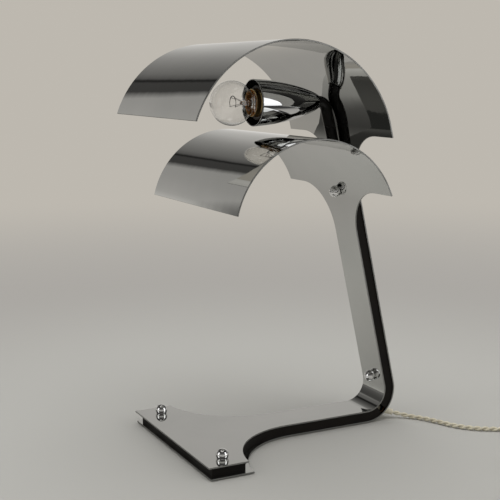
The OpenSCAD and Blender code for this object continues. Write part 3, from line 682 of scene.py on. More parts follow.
def settle(
    obj: Object, slot: str, *nodes: str, body: str = "lamp", finishes: tuple[str, ...] = ()
) -> Object:
    """Dress a finished piece and tie it to the frame.

    Args:
        obj: the piece.
        slot: name of the finish that it takes where no finishes are given.
        *nodes: CAD nodes that it stands for.
        body: CAD body that it rides on.
        finishes: names of its finishes, where they aren't just the slot's.

    Returns:
        The piece.
    """
    dress(obj, *(finishes or (slot,)))
    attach(obj, body)
    if nodes:
        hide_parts(*nodes)
    LOG.info("%s: %d faces, for %s", obj.name, len(obj.data.polygons), ", ".join(nodes) or "itself")
    return obj


def dress_solids(nodes: dict[str, Object], finish: str, *names: str) -> list[Object]:
    """Dress CAD solids that show as they are, and return them."""
    return [dress(nodes[name], finish) for name in names]


# ---------------------------------------------------------------- camera, floor and lights


@dataclass(frozen=True)
class CameraRig:
    """The camera at the photograph's place, found from the lamp's own edges.

    Attributes:
        target: point at the middle of the picture, row-frame millimetres.
        distance: from the camera to that point.
        azimuth: degrees; 0 looks along +Y.
        elevation: degrees above level.
        roll: degrees.
        lens: millimetres for a 36 mm wide sensor.
    """

    target: Triple = (-27.1, 8.6, 198.4)
    distance: float = 1100.8
    azimuth: float = -26.75
    elevation: float = 9.491
    roll: float = -0.21
    lens: float = 76.47

    def build(self) -> None:
        """Make the camera and set it as the scene's."""
        data = bpy.data.cameras.new("camera")
        data.sensor_width, data.lens = 36.0, self.lens
        data.clip_start, data.clip_end = 0.05, 60.0
        camera = bpy.data.objects.new("camera", data)
        bpy.context.scene.collection.objects.link(camera)
        a, e = math.radians(self.azimuth), math.radians(self.elevation)
        back = Vector((math.sin(a) * math.cos(e), -math.cos(a) * math.cos(e), math.sin(e)))
        right = Vector((0, 0, 1)).cross(back).normalized()
        turn = Matrix((right, back.cross(right), back)).transposed()
        turn = turn @ Matrix.Rotation(math.radians(self.roll), 3, "Z")
        place = (Vector(self.target) + back * self.distance) * 0.001
        camera.matrix_world = Matrix.Translation(place) @ turn.to_4x4()
        bpy.context.scene.camera = camera
        LOG.info("camera at %s", tuple(round(x, 4) for x in camera.location))


@dataclass(frozen=True)
class Lamphouse:
    """A soft square light.

    Attributes:
        name: its name.
        place: centre in metres.
        aim: point that it faces.
        size: width and height in metres.
        power: watts.
        in_mirrors: whether polished metal shows it.
    """

    name: str
    place: Triple
    aim: Triple
    size: tuple[float, float]
    power: float
    in_mirrors: bool = True

    def build(self) -> None:
        """Make the light."""
        data = bpy.data.lights.new(self.name, "AREA")
        data.shape = "RECTANGLE"
        data.size, data.size_y = self.size
        data.energy = self.power
        lamp = bpy.data.objects.new(self.name, data)
        bpy.context.scene.collection.objects.link(lamp)
        lamp.location = self.place
        lamp.rotation_mode = "QUATERNION"
        way = Vector(self.aim) - Vector(self.place)
        lamp.rotation_quaternion = way.to_track_quat("-Z", "Y")
        lamp.visible_camera = False
        lamp.visible_glossy = self.in_mirrors


@dataclass(frozen=True)
class Studio:
    """A pale floor that melts into a pale background, with soft lights.

    Polished metal and glass see a room of their own: a pale backdrop behind the lamp that dims
    upwards, with one dark gap in it, and dim walls elsewhere. Azimuth is atan2(x, y) and elevation
    asin(z), in degrees.

    Attributes:
        background: linear colour of the background that the camera sees.
        floor: linear colour of the floor near the lamp.
        sweep: linear colour where the floor begins to give its own light.
        dark: linear colour that polished metal sees past the floor's edges.
        fade: distances from the lamp over which the floor comes to give its own light, metres.
        far: distances over which its own light turns from sweep to background.
        edges: the floor's edges in mirrors: a direction (x, y), and the distances along it over
            which the floor turns dark.
        fill: strength of the even light from all round.
        fill_tint: its linear colour.
        room_tint: linear colour that the mirrored room's levels are multiplied by.
        heights: level of the mirrored room by elevation.
        turns: level of the mirrored room by azimuth.
        skirt: the same near the horizon, where the backdrop is whole.
        gap_foot: elevations over which skirt gives way to turns.
        skirt_top: elevations above which skirt counts as 1.
        ceiling: elevations over which the ceiling, the same all round, gives way to turns.
        lights: the soft lights.
    """

    background: Colour = (0.51, 0.48, 0.43)
    floor: Colour = (0.455, 0.45, 0.425)
    sweep: Colour = (0.402, 0.386, 0.361)
    dark: Colour = (0.06, 0.06, 0.058)
    fade: tuple[float, float] = (0.25, 0.9)
    far: tuple[float, float] = (0.7, 2.2)
    edges: tuple[tuple[tuple[float, float], float, float], ...] = (
        ((0, -1), 0.6, 0.9), ((1, -0.85), 0.75, 1.15), ((-1, 0.23), 0.8, 1.2),
    )  # fmt: skip
    fill: float = 0.42
    fill_tint: Colour = (1.0, 0.985, 0.96)
    room_tint: Colour = (1.0, 0.975, 0.93)
    heights: Stops = (
        (-90, 0.5), (-4, 0.6), (2, 0.76), (9, 0.62), (16, 0.54), (27, 0.47), (31, 0.22),
        (50, 0.12), (63, 0.14), (75, 0.7), (90, 0.75),
    )  # fmt: skip
    turns: Stops = (
        (-180, 0.42), (-140, 0.36), (-75, 0.36), (-45, 0.25), (-33, 0.15), (-27, 0.15),
        (-24, 0.74), (-11.6, 0.74), (-10.9, 0.11), (-5.2, 0.12), (-4.8, 0.03), (-3.6, 0.03),
        (-3.0, 0.22), (0, 0.36), (4, 0.46), (12, 0.66), (20, 0.95), (45, 1.0), (60, 0.5),
        (74, 0.12), (85, 0.38), (94, 0.38), (101, 0.07), (127, 0.06), (152, 0.3), (180, 0.42),
    )  # fmt: skip
    skirt: Stops = ((-52, 1.0), (-44, 0.3), (-27, 0.22), (-24, 1.0))
    gap_foot: tuple[float, float] = (1.0, 7.0)
    skirt_top: tuple[float, float] = (20.0, 30.0)
    ceiling: tuple[float, float] = (70.0, 58.0)
    lights: tuple[Lamphouse, ...] = (
        Lamphouse("overhead", (-0.1, 0.1, 2.2), (0, 0, 0), (2.4, 2.4), 37, False),
        Lamphouse("left_panel", (-1.55, 0.1, 0.62), (0, 0, 0.35), (0.58, 1.04), 2.6),
        Lamphouse("right_panel", (1.04, -1.16, 0.68), (0, 0, 0.35), (0.9, 1.4), 5.2),
    )

    def floor_material(self) -> bpy.types.Material:
        """Matt floor that melts into its own light with the distance from the lamp.

        Polished metal sees it end in the dark room in front of the lamp and on both sides, as a
        table does.

        Returns:
            The material.
        """
        made = bpy.data.materials.new("floor_paper")
        made.use_nodes = True
        made.node_tree.nodes.clear()
        graph = Graph(made.node_tree)
        at = graph.node("TexCoord").outputs["Object"]
        away = graph.node("VectorMath", {0: at}, operation="LENGTH").outputs["Value"]

        def grow(value: Socket, low: float, high: float) -> Socket:
            """0 up to low, 1 from high on, smooth between."""
            return graph.spread(value, low, high, kind="SMOOTHSTEP")

        beyond: Socket | float = 0.0
        for (x, y), low, high in self.edges:
            edge = graph.node("VectorMath", {0: at, 1: (x, y, 0)}, operation="DOT_PRODUCT")
            beyond = graph.math("MAXIMUM", beyond, grow(edge.outputs["Value"], low, high))
        mirrored = graph.node("LightPath").outputs["Is Glossy Ray"]
        tone = graph.mix(grow(away, *self.far), rgba(self.sweep), rgba(self.background))
        matt = graph.node("BsdfDiffuse", {"Color": rgba(self.floor)}).outputs[0]
        own, dark = (
            graph.node("Emission", {"Color": colour}).outputs[0]
            for colour in (tone, rgba(self.dark))
        )
        pale = graph.choose(grow(away, *self.fade), matt, own)
        surface = graph.choose(graph.math("MULTIPLY", mirrored, beyond), pale, dark)
        graph.node("OutputMaterial", {"Surface": surface})
        return made

    def build_floor(self) -> None:
        """A round floor, far larger than the view."""
        sides = 96
        angle = np.linspace(0, 2 * np.pi, sides, endpoint=False)
        radius = np.array([0.6, 1.5, 4.0, 12.0, 30.0])
        rings = len(radius)
        ring = np.stack([np.cos(angle), np.sin(angle), 0 * angle], -1)
        points = np.vstack([(radius[:, None, None] * ring).reshape(-1, 3), [[0, 0, 0]]])
        j = np.arange(sides)
        faces = grid_quads(rings, sides, True)[:, ::-1].tolist()
        faces += np.stack([j, (j + 1) % sides, np.full(sides, rings * sides)], -1).tolist()
        floor = add_object("floor", points, faces, None)
        floor.data.materials.append(self.floor_material())

    def build_world(self) -> None:
        """Even fill light, the plain background, and the room for the mirrors."""
        world = bpy.data.worlds.new("studio")
        bpy.context.scene.world = world
        world.use_nodes = True
        world.node_tree.nodes.clear()
        graph = Graph(world.node_tree)
        at = graph.node("TexCoord").outputs["Generated"]
        x, y, z = graph.node("SeparateXYZ", {"Vector": at}).outputs
        azimuth = graph.math("DEGREES", graph.math("ARCTAN2", x, y))
        elevation = graph.math("DEGREES", graph.math("ARCSINE", z))
        skirt = graph.ramp(azimuth, self.skirt, 180)
        skirt = graph.math("MAXIMUM", skirt, graph.spread(elevation, *self.skirt_top))
        within = [graph.spread(elevation, *limits) for limits in (self.gap_foot, self.ceiling)]
        room = graph.mix(
            graph.math("MULTIPLY", *within), skirt, graph.ramp(azimuth, self.turns, 180)
        )
        level = graph.mix(1.0, graph.ramp(elevation, self.heights, 90), room, "MULTIPLY")
        warm = graph.mix(1.0, level, rgba(self.room_tint), "MULTIPLY")

        rays = graph.node("LightPath").outputs
        even, seen, mirrored = (
            graph.node("Background", {"Color": colour, "Strength": strength}).outputs[0]
            for colour, strength in (
                (rgba(self.fill_tint), self.fill), (rgba(self.background), 1.0), (warm, 1.0)
            )
        )  # fmt: skip
        unseen = graph.choose(rays["Is Glossy Ray"], even, mirrored)
        shown = graph.math("MAXIMUM", rays["Is Camera Ray"], rays["Is Transmission Ray"])
        graph.node("OutputWorld", {"Surface": graph.choose(shown, unseen, seen)})

    def build(self) -> None:
        """Make the floor, the world and the lights."""
        bpy.context.scene.view_settings.view_transform = "Standard"
        self.build_floor()
        self.build_world()
        for light in self.lights:
            light.build()


# ---------------------------------------------------------------- the cord


@dataclass(frozen=True)
class TwistedCord:
    """The twisted two-core cord with its coil. Points are row-frame millimetres.

    Attributes:
        lead: from the sleeve's tip to the switch.
        middle: from the switch to the coil.
        tail: from the coil to the plug.
        coil_centre: middle of the coil's lowest ring.
        turns: turns of the coil.
        coil_r: radius of its widest ring.
        step: distance between neighbouring rings.
        diameter: over both cores.
        pitch: length of one twist.
        length: whole length in metres; not used.
    """

    lead: tuple[Triple, ...] = (
        (136.7, -17, 6.5), (145, -23, 4.4), (151.5, -29, 3.2), (157.5, -36, 2.7),
        (163, -45, 2.7), (167.5, -55, 2.7), (172, -66, 2.7), (177, -77, 2.7),
        (184, -87, 2.7), (192.5, -95.5, 2.7), (201.5, -102, 2.7), (210, -107, 2.7),
        (218.5, -111.5, 2.8), (226, -117, 3.6), (232, -124, 5.2), (235.8, -131.5, 6.4),
        (237, -137, 6.9), (237, -139.9, 7),
    )  # fmt: skip
    middle: tuple[Triple, ...] = (
        (237, -202.3, 7), (237, -206, 6.6), (237, -212, 5.3), (237, -219, 4.3),
        (237, -226, 3.9), (237, -234.8, 3.9),
    )  # fmt: skip
    tail: tuple[Triple, ...] = (
        (195.8, -276, 21.9), (190, -276.2, 21.5), (185, -276.6, 20), (179, -277.2, 16.8),
        (173, -277.8, 13), (167, -278, 9.8), (161, -278, 7.8), (156.5, -278, 7.1),
    )  # fmt: skip
    coil_centre: Triple = (201, -240, 3.9)
    turns: float = 7.25
    coil_r: float = 36.0
    step: float = 6.0
    diameter: float = 5.2
    pitch: float = 17.0
    length: float = 1.71

    def coil(self) -> Array:
        """The coil's middle line.

        At turn t the radius runs in and out between coil_r and coil_r - step * turns / 4, and
        the line climbs one step in the half turn round each change of direction:
        centre + (r cos, -r sin, step * layers).

        Returns:
            (n, 3) points, 24 in each turn.
        """
        layer = self.turns / 4
        t = np.arange(int(self.turns * 24) + 1) / 24
        inward = 1 - np.abs(1 - (t / layer) % 2)
        r = self.coil_r - self.step * layer * inward
        climbed = sum(np.clip(2 * (t - k * layer) + 0.5, 0, 1) for k in (1, 2, 3))
        angle = 2 * np.pi * t
        ring = np.stack([r * np.cos(angle), -r * np.sin(angle), self.step * climbed], -1)
        return np.array(self.coil_centre) + ring

    def centre_line(self) -> Array:
        """The whole cord's middle line, evenly spaced, from the sleeve to the plug."""
        parts = [self.lead, self.middle, self.coil(), self.tail]
        return smooth_path(np.vstack([np.array(p, float) for p in parts]), 1.3)

    def build(self) -> Object:
        """The two cores as two tubes that wind round the middle line.

        Core k runs along line + d/4 (cos a side + sin a up), where a grows by a full turn in each
        pitch and is half a turn more for the second core.

        Returns:
            The cord's object.
        """
        line = self.centre_line()
        run = np.arange(len(line)) * np.linalg.norm(line[1] - line[0])
        _, side, top = path_frames(line, np.array([0.0, 0.0, 1.0]))
        points, faces = [], []
        sides, r = 9, self.diameter / 4
        ring_angle = np.linspace(0, 2 * np.pi, sides, endpoint=False)
        for core in (0, 1):
            a = (2 * np.pi * run / self.pitch + core * np.pi)[:, None]
            centre = line + r * (np.cos(a) * side + np.sin(a) * top)
            k = a + ring_angle[None]
            ring = np.cos(k)[..., None] * side[:, None] + np.sin(k)[..., None] * top[:, None]
            points.append((centre[:, None] + r * ring).reshape(-1, 3))
            base = core * len(line) * sides
            faces += grid_quads(len(line), sides, True, base).tolist()
            last = base + (len(line) - 1) * sides
            faces.append(list(range(base + sides - 1, base - 1, -1)))
            faces.append(list(range(last, last + sides)))
        obj = add_object("twisted_cord", np.vstack(points) * 0.001, faces, 60)
        merge_close(obj, 1e-9)
        return settle(obj, "cord_cover", "cord_lead", "cord_middle", "cord_coil", "cord_tail")

    def declare(self, cord: Object, pieces: list[Object]) -> None:
        """Do nothing with the cord or the pieces on it.

        Args:
            cord: the cord's object; not used.
            pieces: the sleeve, the tie, the switch's pieces and the plug's; not used.
        """


@dataclass(frozen=True)
class CordFittings:
    """The sleeve where the cord leaves the lamp, and the tie round the coil.

    Attributes:
        hole: where the sleeve's axis leaves the plate, row-frame millimetres.
        tip: where the sleeve ends.
        inside: its length inside the plates.
        hole_y: Y of the hole.
        sleeve_d: its diameter at the plate.
        tip_d: its diameter at the tip.
        cord_d: the cord's diameter.
        grooves: number of grooves round it.
        groove_depth: their depth.
        tie_turn: where round the coil the tie lies, degrees.
        tie_gap: from the cord's surface to the middle of the tie's wire.
        tie_r: radius of the tie's wire.
        end_r: radius of its twisted ends.
        twist_r: how far each end's middle line is from the twist's.
        end_l: length of the ends.
    """

    hole: Triple
    tip: Triple
    inside: float = 4.0
    hole_y: float = -8.0
    sleeve_d: float = 8.0
    tip_d: float = 6.4
    cord_d: float = 5.2
    grooves: int = 4
    groove_depth: float = 0.28
    tie_turn: float = 110.0
    tie_gap: float = 0.64
    tie_r: float = 0.65
    end_r: float = 0.55
    twist_r: float = 0.62
    end_l: float = 7.5

    def sleeve(self) -> Object:
        """Make a tapered sleeve with shallow grooves, turned round the cord.

        Returns:
            The sleeve.
        """
        hole, tip = to_drawing(self.hole), to_drawing(self.tip)
        axis = Axis(tuple(hole), tuple(unit(tip - hole)))
        end = float(np.linalg.norm(tip - hole))
        s = np.linspace(3.6, end - 0.6, 60)
        share = (s - s[0]) / (s[-1] - s[0])
        r = self.sleeve_d / 2 - 0.45 + (self.tip_d - self.sleeve_d + 0.9) / 2 * share
        wave = np.sin(2 * np.pi * self.grooves * share - 0.6)
        groove = self.groove_depth * np.clip(wave, 0, 1) ** 2
        bore = self.cord_d / 2 + 0.05
        outer = np.stack([r - groove, s], -1)
        wide, thin = self.sleeve_d / 2, self.tip_d / 2
        collar = eased([[wide, -self.inside], [wide, 2.8], [r[0], 3.5]], 0.5, closed=False)
        end_ring = [[thin - 0.25, end - 0.15], [thin - 0.6, end], [bore, end]]
        profile = np.vstack([[[bore, -self.inside]], collar, outer, end_ring])
        obj = turned("cord_sleeve_grooved", axis, profile, 48)
        return settle(obj, "sleeve_plastic", "cord_sleeve")

    def tie(self, cord: TwistedCord) -> Object:
        """Make a covered wire once round the coil, with its two ends twisted together.

        The loop follows a box with round corners: a point at angle a lies where
        |x/w|^5 + |z/h|^5 = 1 in the plane that cuts the coil.

        Args:
            cord: the cord whose coil it holds.

        Returns:
            The tie.
        """
        layer = cord.turns / 4
        inner, outer = cord.coil_r - cord.step * layer, cord.coil_r
        high = 3 * cord.step
        room = cord.diameter / 2 + self.tie_gap
        w, h = (outer - inner) / 2 + room, high / 2 + room
        a = np.linspace(0, 2 * np.pi, 97)
        c, s = np.cos(a), np.sin(a)
        size = (np.abs(c / w) ** 5 + np.abs(s / h) ** 5) ** -0.2
        turn = math.radians(self.tie_turn)
        out = np.array([math.cos(turn), math.sin(turn), 0])
        across = np.array([-math.sin(turn), math.cos(turn), 0])
        middle = np.array(cord.coil_centre) + out * (inner + outer) / 2 + [0, 0, high / 2]
        rise = np.array([0.0, 0.0, 1.0])
        loop = middle + (size * c)[:, None] * out + (size * s)[:, None] * rise
        loop += (a / (2 * np.pi) - 0.5)[:, None] * 1.4 * across
        runs = [(loop, self.tie_r)]
        t = np.linspace(0, 1, 40)
        for side in (0, math.pi):
            twist = 4 * math.pi * t + side
            tail = (
                middle
                + (w + 0.4 + self.end_l * t)[:, None] * out
                + (self.twist_r * np.cos(twist))[:, None] * across
                + (self.twist_r * np.sin(twist) + 1.6 * t**2)[:, None] * rise
            )
            runs.append((tail, self.end_r))
        shifted = [(to_drawing(p), r) for p, r in runs]
        obj = rod_object("coil_tie_wire", shifted, 10, across + 0.01 * rise)
        return settle(obj, "tie_plastic", "coil_tie")


# ---------------------------------------------------------------- the two plates


@dataclass(frozen=True)
class SideView:
    """The lines that all plates and spacers share in the side view.

    Attributes:
        foot_l: from the foot's front edge to where the stem's front line meets the foot's top.
        lean: how far the stem leans back from upright, degrees.
        bend_r: radius of the inner plate's inner face in the bend.
    """

    foot_l: float = 252.2
    lean: float = 12.6
    bend_r: float = 22.0

    @property
    def tangent_l(self) -> float:
        """Length of stem that the bend takes."""
        return self.bend_r * math.tan(math.radians(45 + self.lean / 2))

    @property
    def bend_x(self) -> float:
        """X of the bend's centre."""
        return self.foot_l - self.tangent_l

    def bend(self, r: float, angle: float, y: float) -> Array:
        """Point in the bend: r from its centre, angle degrees below level."""
        a = math.radians(angle)
        return np.array([self.bend_x + r * math.cos(a), y, self.bend_r - r * math.sin(a)])

    def stem(self, n: Array, v: Array, y: Array | float = 0.0) -> Array:
        """Point n out of the stem's front face and v up along it: (x, y, z)."""
        c, s = math.cos(math.radians(self.lean)), math.sin(math.radians(self.lean))
        n, v, y = np.broadcast_arrays(np.asarray(n, float), v, y)
        return np.stack([self.foot_l + n * c - v * s, y, n * s + v * c], -1)


@dataclass(frozen=True)
class BentPlate:
    """One polished plate: foot, bend, stem and hood from a single strip.

    A row of the strip has a point P in the side view, the direction D out of the plate's first
    face there and a half width w. The skins are P + o D + t Y with o = 0 and o = thickness and
    t from -w to w. Beyond the hood's rear edge, two wings widen the rows to the full width.

    Attributes:
        name: the piece's name.
        node: CAD node that it stands for.
        off: distance of its first face outside the inner plate's inner face.
        front: X of its front edge.
        side_end: X where the straight sides of its foot end.
        hood_r: radius of the first face of the hood.
        hood_v: height up the stem where the hood begins to curve.
        sweep: degrees that the hood turns.
        edge_v: height up the stem of the hood's rear edge.
        side: the lines that the plates share.
        thickness: of the plate.
        foot_w: width of the foot; stem_w and hood_w are those of the stem and the hood.
        hollow_r: radius of the hollow on each side between foot and stem.
        flare_r: radius on each side between stem and hood.
        chamfer: of the edges.
        columns: columns of faces across the strip; wing_columns are those of a wing.
    """

    name: str
    node: str
    off: float
    front: float
    side_end: float
    hood_r: float
    hood_v: float
    sweep: float
    edge_v: float
    side: SideView = SideView()
    thickness: float = 1.5
    foot_w: float = 194.0
    stem_w: float = 43.0
    hollow_r: float = 82.0
    flare_r: float = 50.0
    hood_w: float = 203.0
    chamfer: float = 0.22
    columns: int = 24
    wing_columns: int = 6

    def foot_rows(self) -> tuple[Array, Array]:
        """X and half width of each row of the foot: straight sides, then a round hollow."""
        hollow_y = self.stem_w / 2 + self.hollow_r
        rise = hollow_y - self.foot_w / 2
        hollow_x = self.side_end + math.sqrt(self.hollow_r**2 - rise**2)
        beta = np.linspace(math.pi - math.asin(rise / self.hollow_r), math.pi / 2, 34)
        x = np.linspace(self.front, self.side_end, 6)[:-1]
        neck = np.linspace(hollow_x, self.side.bend_x, 7)[1:-1]
        w = np.full(len(x), self.foot_w / 2), hollow_y - self.hollow_r * np.sin(beta)
        x = np.concatenate([x, hollow_x + self.hollow_r * np.cos(beta), neck])
        return x, np.concatenate([*w, np.full(len(neck), self.stem_w / 2)])

    def rows(self) -> tuple[Array, Array, Array, int]:
        """All the rows from the foot's front to the hood's open end.

        Returns:
            P (n, 2) and D (n, 2) in x and z, w (n,), and the row of the hood's rear edge.
        """
        side, lean = self.side, math.radians(self.side.lean)
        x, w = self.foot_rows()
        p = [np.stack([x, np.full_like(x, -self.off)], -1)]
        d = [np.tile([0.0, -1.0], (len(x), 1))]
        widths = [w]

        a = np.linspace(-math.pi / 2, lean, 40)
        out = np.stack([np.cos(a), np.sin(a)], -1)
        p.append(np.array([side.bend_x, side.bend_r]) + (side.bend_r + self.off) * out)
        d.append(out)
        widths.append(np.full(len(a), self.stem_w / 2))

        phi = np.linspace(0, math.pi / 2, 28)
        low = self.edge_v - self.flare_r
        straight = np.linspace(side.tangent_l, low, 9)[1:-1]
        v = np.concatenate([straight, low + self.flare_r * np.sin(phi)])
        edge = self.stem_w / 2 + self.flare_r
        widths += [np.full(len(straight), self.stem_w / 2), edge - self.flare_r * np.cos(phi)]
        edge_row = len(x) + len(a) + len(v) - 1
        if self.edge_v < self.hood_v:
            v = np.concatenate([v, np.linspace(self.edge_v, self.hood_v, 3)[1:-1]])
            widths.append(np.full(1, edge))
        past = np.clip((v - self.hood_v) / self.hood_r, 0, 1)
        turn = np.arcsin(past)
        more = np.linspace(turn[-1], math.radians(self.sweep), 74)
        more = more[1:] if self.edge_v >= self.hood_v else more
        widths.append(np.full(len(more), edge))
        turn = np.concatenate([turn, more])
        v = np.concatenate([np.minimum(v, self.hood_v), np.full(len(more), self.hood_v)])
        out = np.stack([np.cos(lean + turn), np.sin(lean + turn)], -1)
        centre = side.stem(self.off - self.hood_r, v)[:, [0, 2]]
        p.append(centre + self.hood_r * out)
        d.append(out)
        return np.vstack(p), np.vstack(d), np.concatenate(widths), edge_row

    def outline(self, rows: int, edge_row: int) -> Array:
        """Vertex numbers round the strip's edge, on the full grid of rows by columns.

        Args:
            rows: number of rows.
            edge_row: the row of the hood's rear edge.

        Returns:
            The numbers in order, each once.
        """
        wing, mid = self.wing_columns, self.columns
        cols = mid + 1 + 2 * wing
        left, right, last = wing, wing + mid, cols - 1
        legs = (
            (0, np.arange(left, right + 1)),
            (np.arange(1, edge_row + 1), right),
            (edge_row, np.arange(right + 1, last + 1)),
            (np.arange(edge_row + 1, rows), last),
            (rows - 1, np.arange(last - 1, -1, -1)),
            (np.arange(rows - 2, edge_row - 1, -1), 0),
            (edge_row, np.arange(1, left + 1)),
            (np.arange(edge_row - 1, 0, -1), left),
        )
        return np.concatenate([row * cols + col for row, col in legs])

    def build(self) -> Object:
        """Make the plate: two skins with exact normals and a chamfered edge between them.

        Returns:
            The plate.
        """
        p, d, w, edge_row = self.rows()
        n, wing = len(p), self.wing_columns
        cols = self.columns + 1 + 2 * wing
        middle = np.linspace(-1, 1, self.columns + 1)[None] * w[:, None]
        spread = np.linspace(0, 1, wing + 1)[1:][None] * (self.hood_w / 2 - w[:, None])
        across = np.hstack([-(w[:, None] + spread)[:, ::-1], middle, w[:, None] + spread])
        run = np.concatenate([[0], np.cumsum(np.linalg.norm(np.diff(p, axis=0), axis=1))])
        along = np.stack([-d[:, 1], d[:, 0]], -1)  # the strip's own direction in the side view

        ring = self.outline(n, edge_row)
        r_i, c_i = ring // cols, ring % cols
        flat = np.stack([run[r_i], across[r_i, c_i]], -1)
        following = np.roll(flat, -1, 0)
        step = unit(flat - np.roll(flat, 1, 0)) + unit(following - flat)
        outward = unit(np.stack([step[:, 1], -step[:, 0]], -1))
        outward *= np.sign(np.sum(flat[:, 0] * following[:, 1] - following[:, 0] * flat[:, 1]))

        def place(o: float, shift: float) -> Array:
            """The grid at depth o, its outline pulled in by shift."""
            grid = np.empty((n, cols, 3))
            grid[..., [0, 2]] = (p + o * d)[:, None]
            grid[..., 1] = across
            grid = grid.reshape(-1, 3)
            move = outward * shift
            grid[ring, 0] -= move[:, 0] * along[r_i, 0]
            grid[ring, 2] -= move[:, 0] * along[r_i, 1]
            grid[ring, 1] -= move[:, 1]
            return grid

        quads = grid_quads(n, cols)
        row, col = quads[:, 0] // cols, quads[:, 0] % cols
        inside = (col >= wing) & (col < wing + self.columns)
        quads = quads[inside | (row >= edge_row)]
        total, m = n * cols, len(ring)
        skins = [place(depth, self.chamfer) for depth in (0.0, self.thickness)]
        rims = [place(o, 0.0)[ring] for o in (self.chamfer, self.thickness - self.chamfer)]
        points = np.vstack([*skins, *rims])
        facing = np.repeat(np.stack([d[:, 0], 0 * d[:, 0], d[:, 1]], -1), cols, axis=0)
        normals = np.vstack([-facing, facing, np.zeros((2 * m, 3))])
        k = np.arange(m)
        after = (k + 1) % m
        loops = [ring, 2 * total + k, 2 * total + m + k, total + ring]
        strips = [
            np.stack([a[k], b[k], b[after], a[after]], -1) for a, b in zip(loops[:-1], loops[1:])
        ]
        faces = np.vstack([quads, quads[:, ::-1] + total, *strips])
        on_edge = np.arange(len(faces)) >= 2 * len(quads)
        kept, number = np.unique(faces, return_inverse=True)
        faces = number.reshape(faces.shape).tolist()
        obj = add_object(self.name, to_row(points[kept]), faces, None)
        self.fix_normals(obj, normals[kept], on_edge)
        settle(obj, "mirror_steel", self.node, finishes=("mirror_steel", "cut_edge"))
        use_second(obj, on_edge)
        return obj

    def fix_normals(self, obj: Object, normals: Array, on_edge: Array) -> None:
        """Turn the faces outwards and give the skins their exact normals.

        Args:
            obj: the plate.
            normals: the exact normal at each vertex; zero on the edge's vertices.
            on_edge: whether each face is part of the edge instead of a skin.
        """
        mesh = obj.data
        found = per_face(obj, "normal")
        if found[0] @ normals[mesh.polygons[0].vertices[0]] < 0:
            mesh.flip_normals()
            mesh.update()
            found = -found
        corner = np.empty(len(mesh.loops), int)
        mesh.loops.foreach_get("vertex_index", corner)
        of_face = np.repeat(np.arange(len(found)), 4)
        exact = np.where(on_edge[of_face][:, None], found[of_face], normals[corner])
        mesh.normals_split_custom_set(exact.tolist())


@dataclass(frozen=True)
class Stack:
    """The inner plate, the outer plate and the black spacer between them."""

    inner: BentPlate = BentPlate(
        "inner_mirror_plate", "inner_plate", off=0.0, front=0.0, side_end=42.0,
        hood_r=87.0, hood_v=241.0, sweep=154.0, edge_v=252.0,
    )  # fmt: skip
    outer: BentPlate = BentPlate(
        "outer_mirror_plate", "outer_plate", off=11.5, front=2.0, side_end=48.0,
        hood_r=106.5, hood_v=316.5, sweep=148.0, edge_v=307.5,
    )  # fmt: skip

    def build(self, nodes: dict[str, Object]) -> None:
        """Make both plates and dress the spacer's two CAD solids."""
        self.inner.build()
        self.outer.build()
        dress_solids(nodes, "black_core", "foot_core", "stem_core")


# ---------------------------------------------------------------- nuts, studs and pads


@dataclass(frozen=True)
class Fasteners:
    """Ball nuts, their studs and the pads under the foot.

    Attributes:
        side: the lines that the plates share.
        ball_d: diameter of a nut's ball.
        centre: height of the ball's centre above its seat.
        foot_x: X of the foot's nuts.
        foot_span: distance between them.
        stem_v: heights of the stem's nuts.
    """

    side: SideView = SideView()
    ball_d: float = 12.5
    centre: float = 3.3
    foot_x: float = 23.0
    foot_span: float = 155.0
    stem_v: tuple[float, float] = (34.0, 248.0)

    @property
    def seat_r(self) -> float:
        """Radius of a nut's flat seat."""
        return math.sqrt((self.ball_d / 2) ** 2 - self.centre**2)

    def pair(self, where: str, axes: list[Axis]) -> None:
        """The two ball nuts at one place, each a ball cut flat at its seat."""
        r = self.ball_d / 2
        a = np.linspace(math.pi - math.asin(self.seat_r / r), 0, 40)
        ball = np.stack([r * np.sin(a), self.centre + r * np.cos(a)], -1)
        profile = np.vstack([[[0, 0]], [[self.seat_r - 0.5, 0]], ball])
        nuts = [turned(f"nut{k}", axis, profile, 64, closed=False) for k, axis in enumerate(axes)]
        settle(joined(f"{where}_ball_nuts", nuts), "bright_nut", f"{where}_nuts")

    def build(self, nodes: dict[str, Object]) -> None:
        """Make the nuts and dress the studs and pads."""
        span, lean = self.foot_span / 2, math.radians(self.side.lean)
        self.pair("foot", [Axis((self.foot_x, y, 0), (0, 0, 1), (1, 0, 0)) for y in (-span, span)])
        stem, plate = [], Stack.inner
        for v in self.stem_v:
            past = max(0.0, v + self.seat_r - plate.hood_v)
            drop = plate.hood_r - math.sqrt(plate.hood_r**2 - past**2)
            along = (-math.cos(lean), 0, -math.sin(lean))
            stem.append(Axis(tuple(self.side.stem(-drop, v)), along, (0, 1, 0)))
        self.pair("stem", stem)
        dress_solids(nodes, "plain_steel", "foot_studs", "stem_studs")
        dress_solids(nodes, "pad_rubber", "foot_pads")


# ---------------------------------------------------------------- the arm


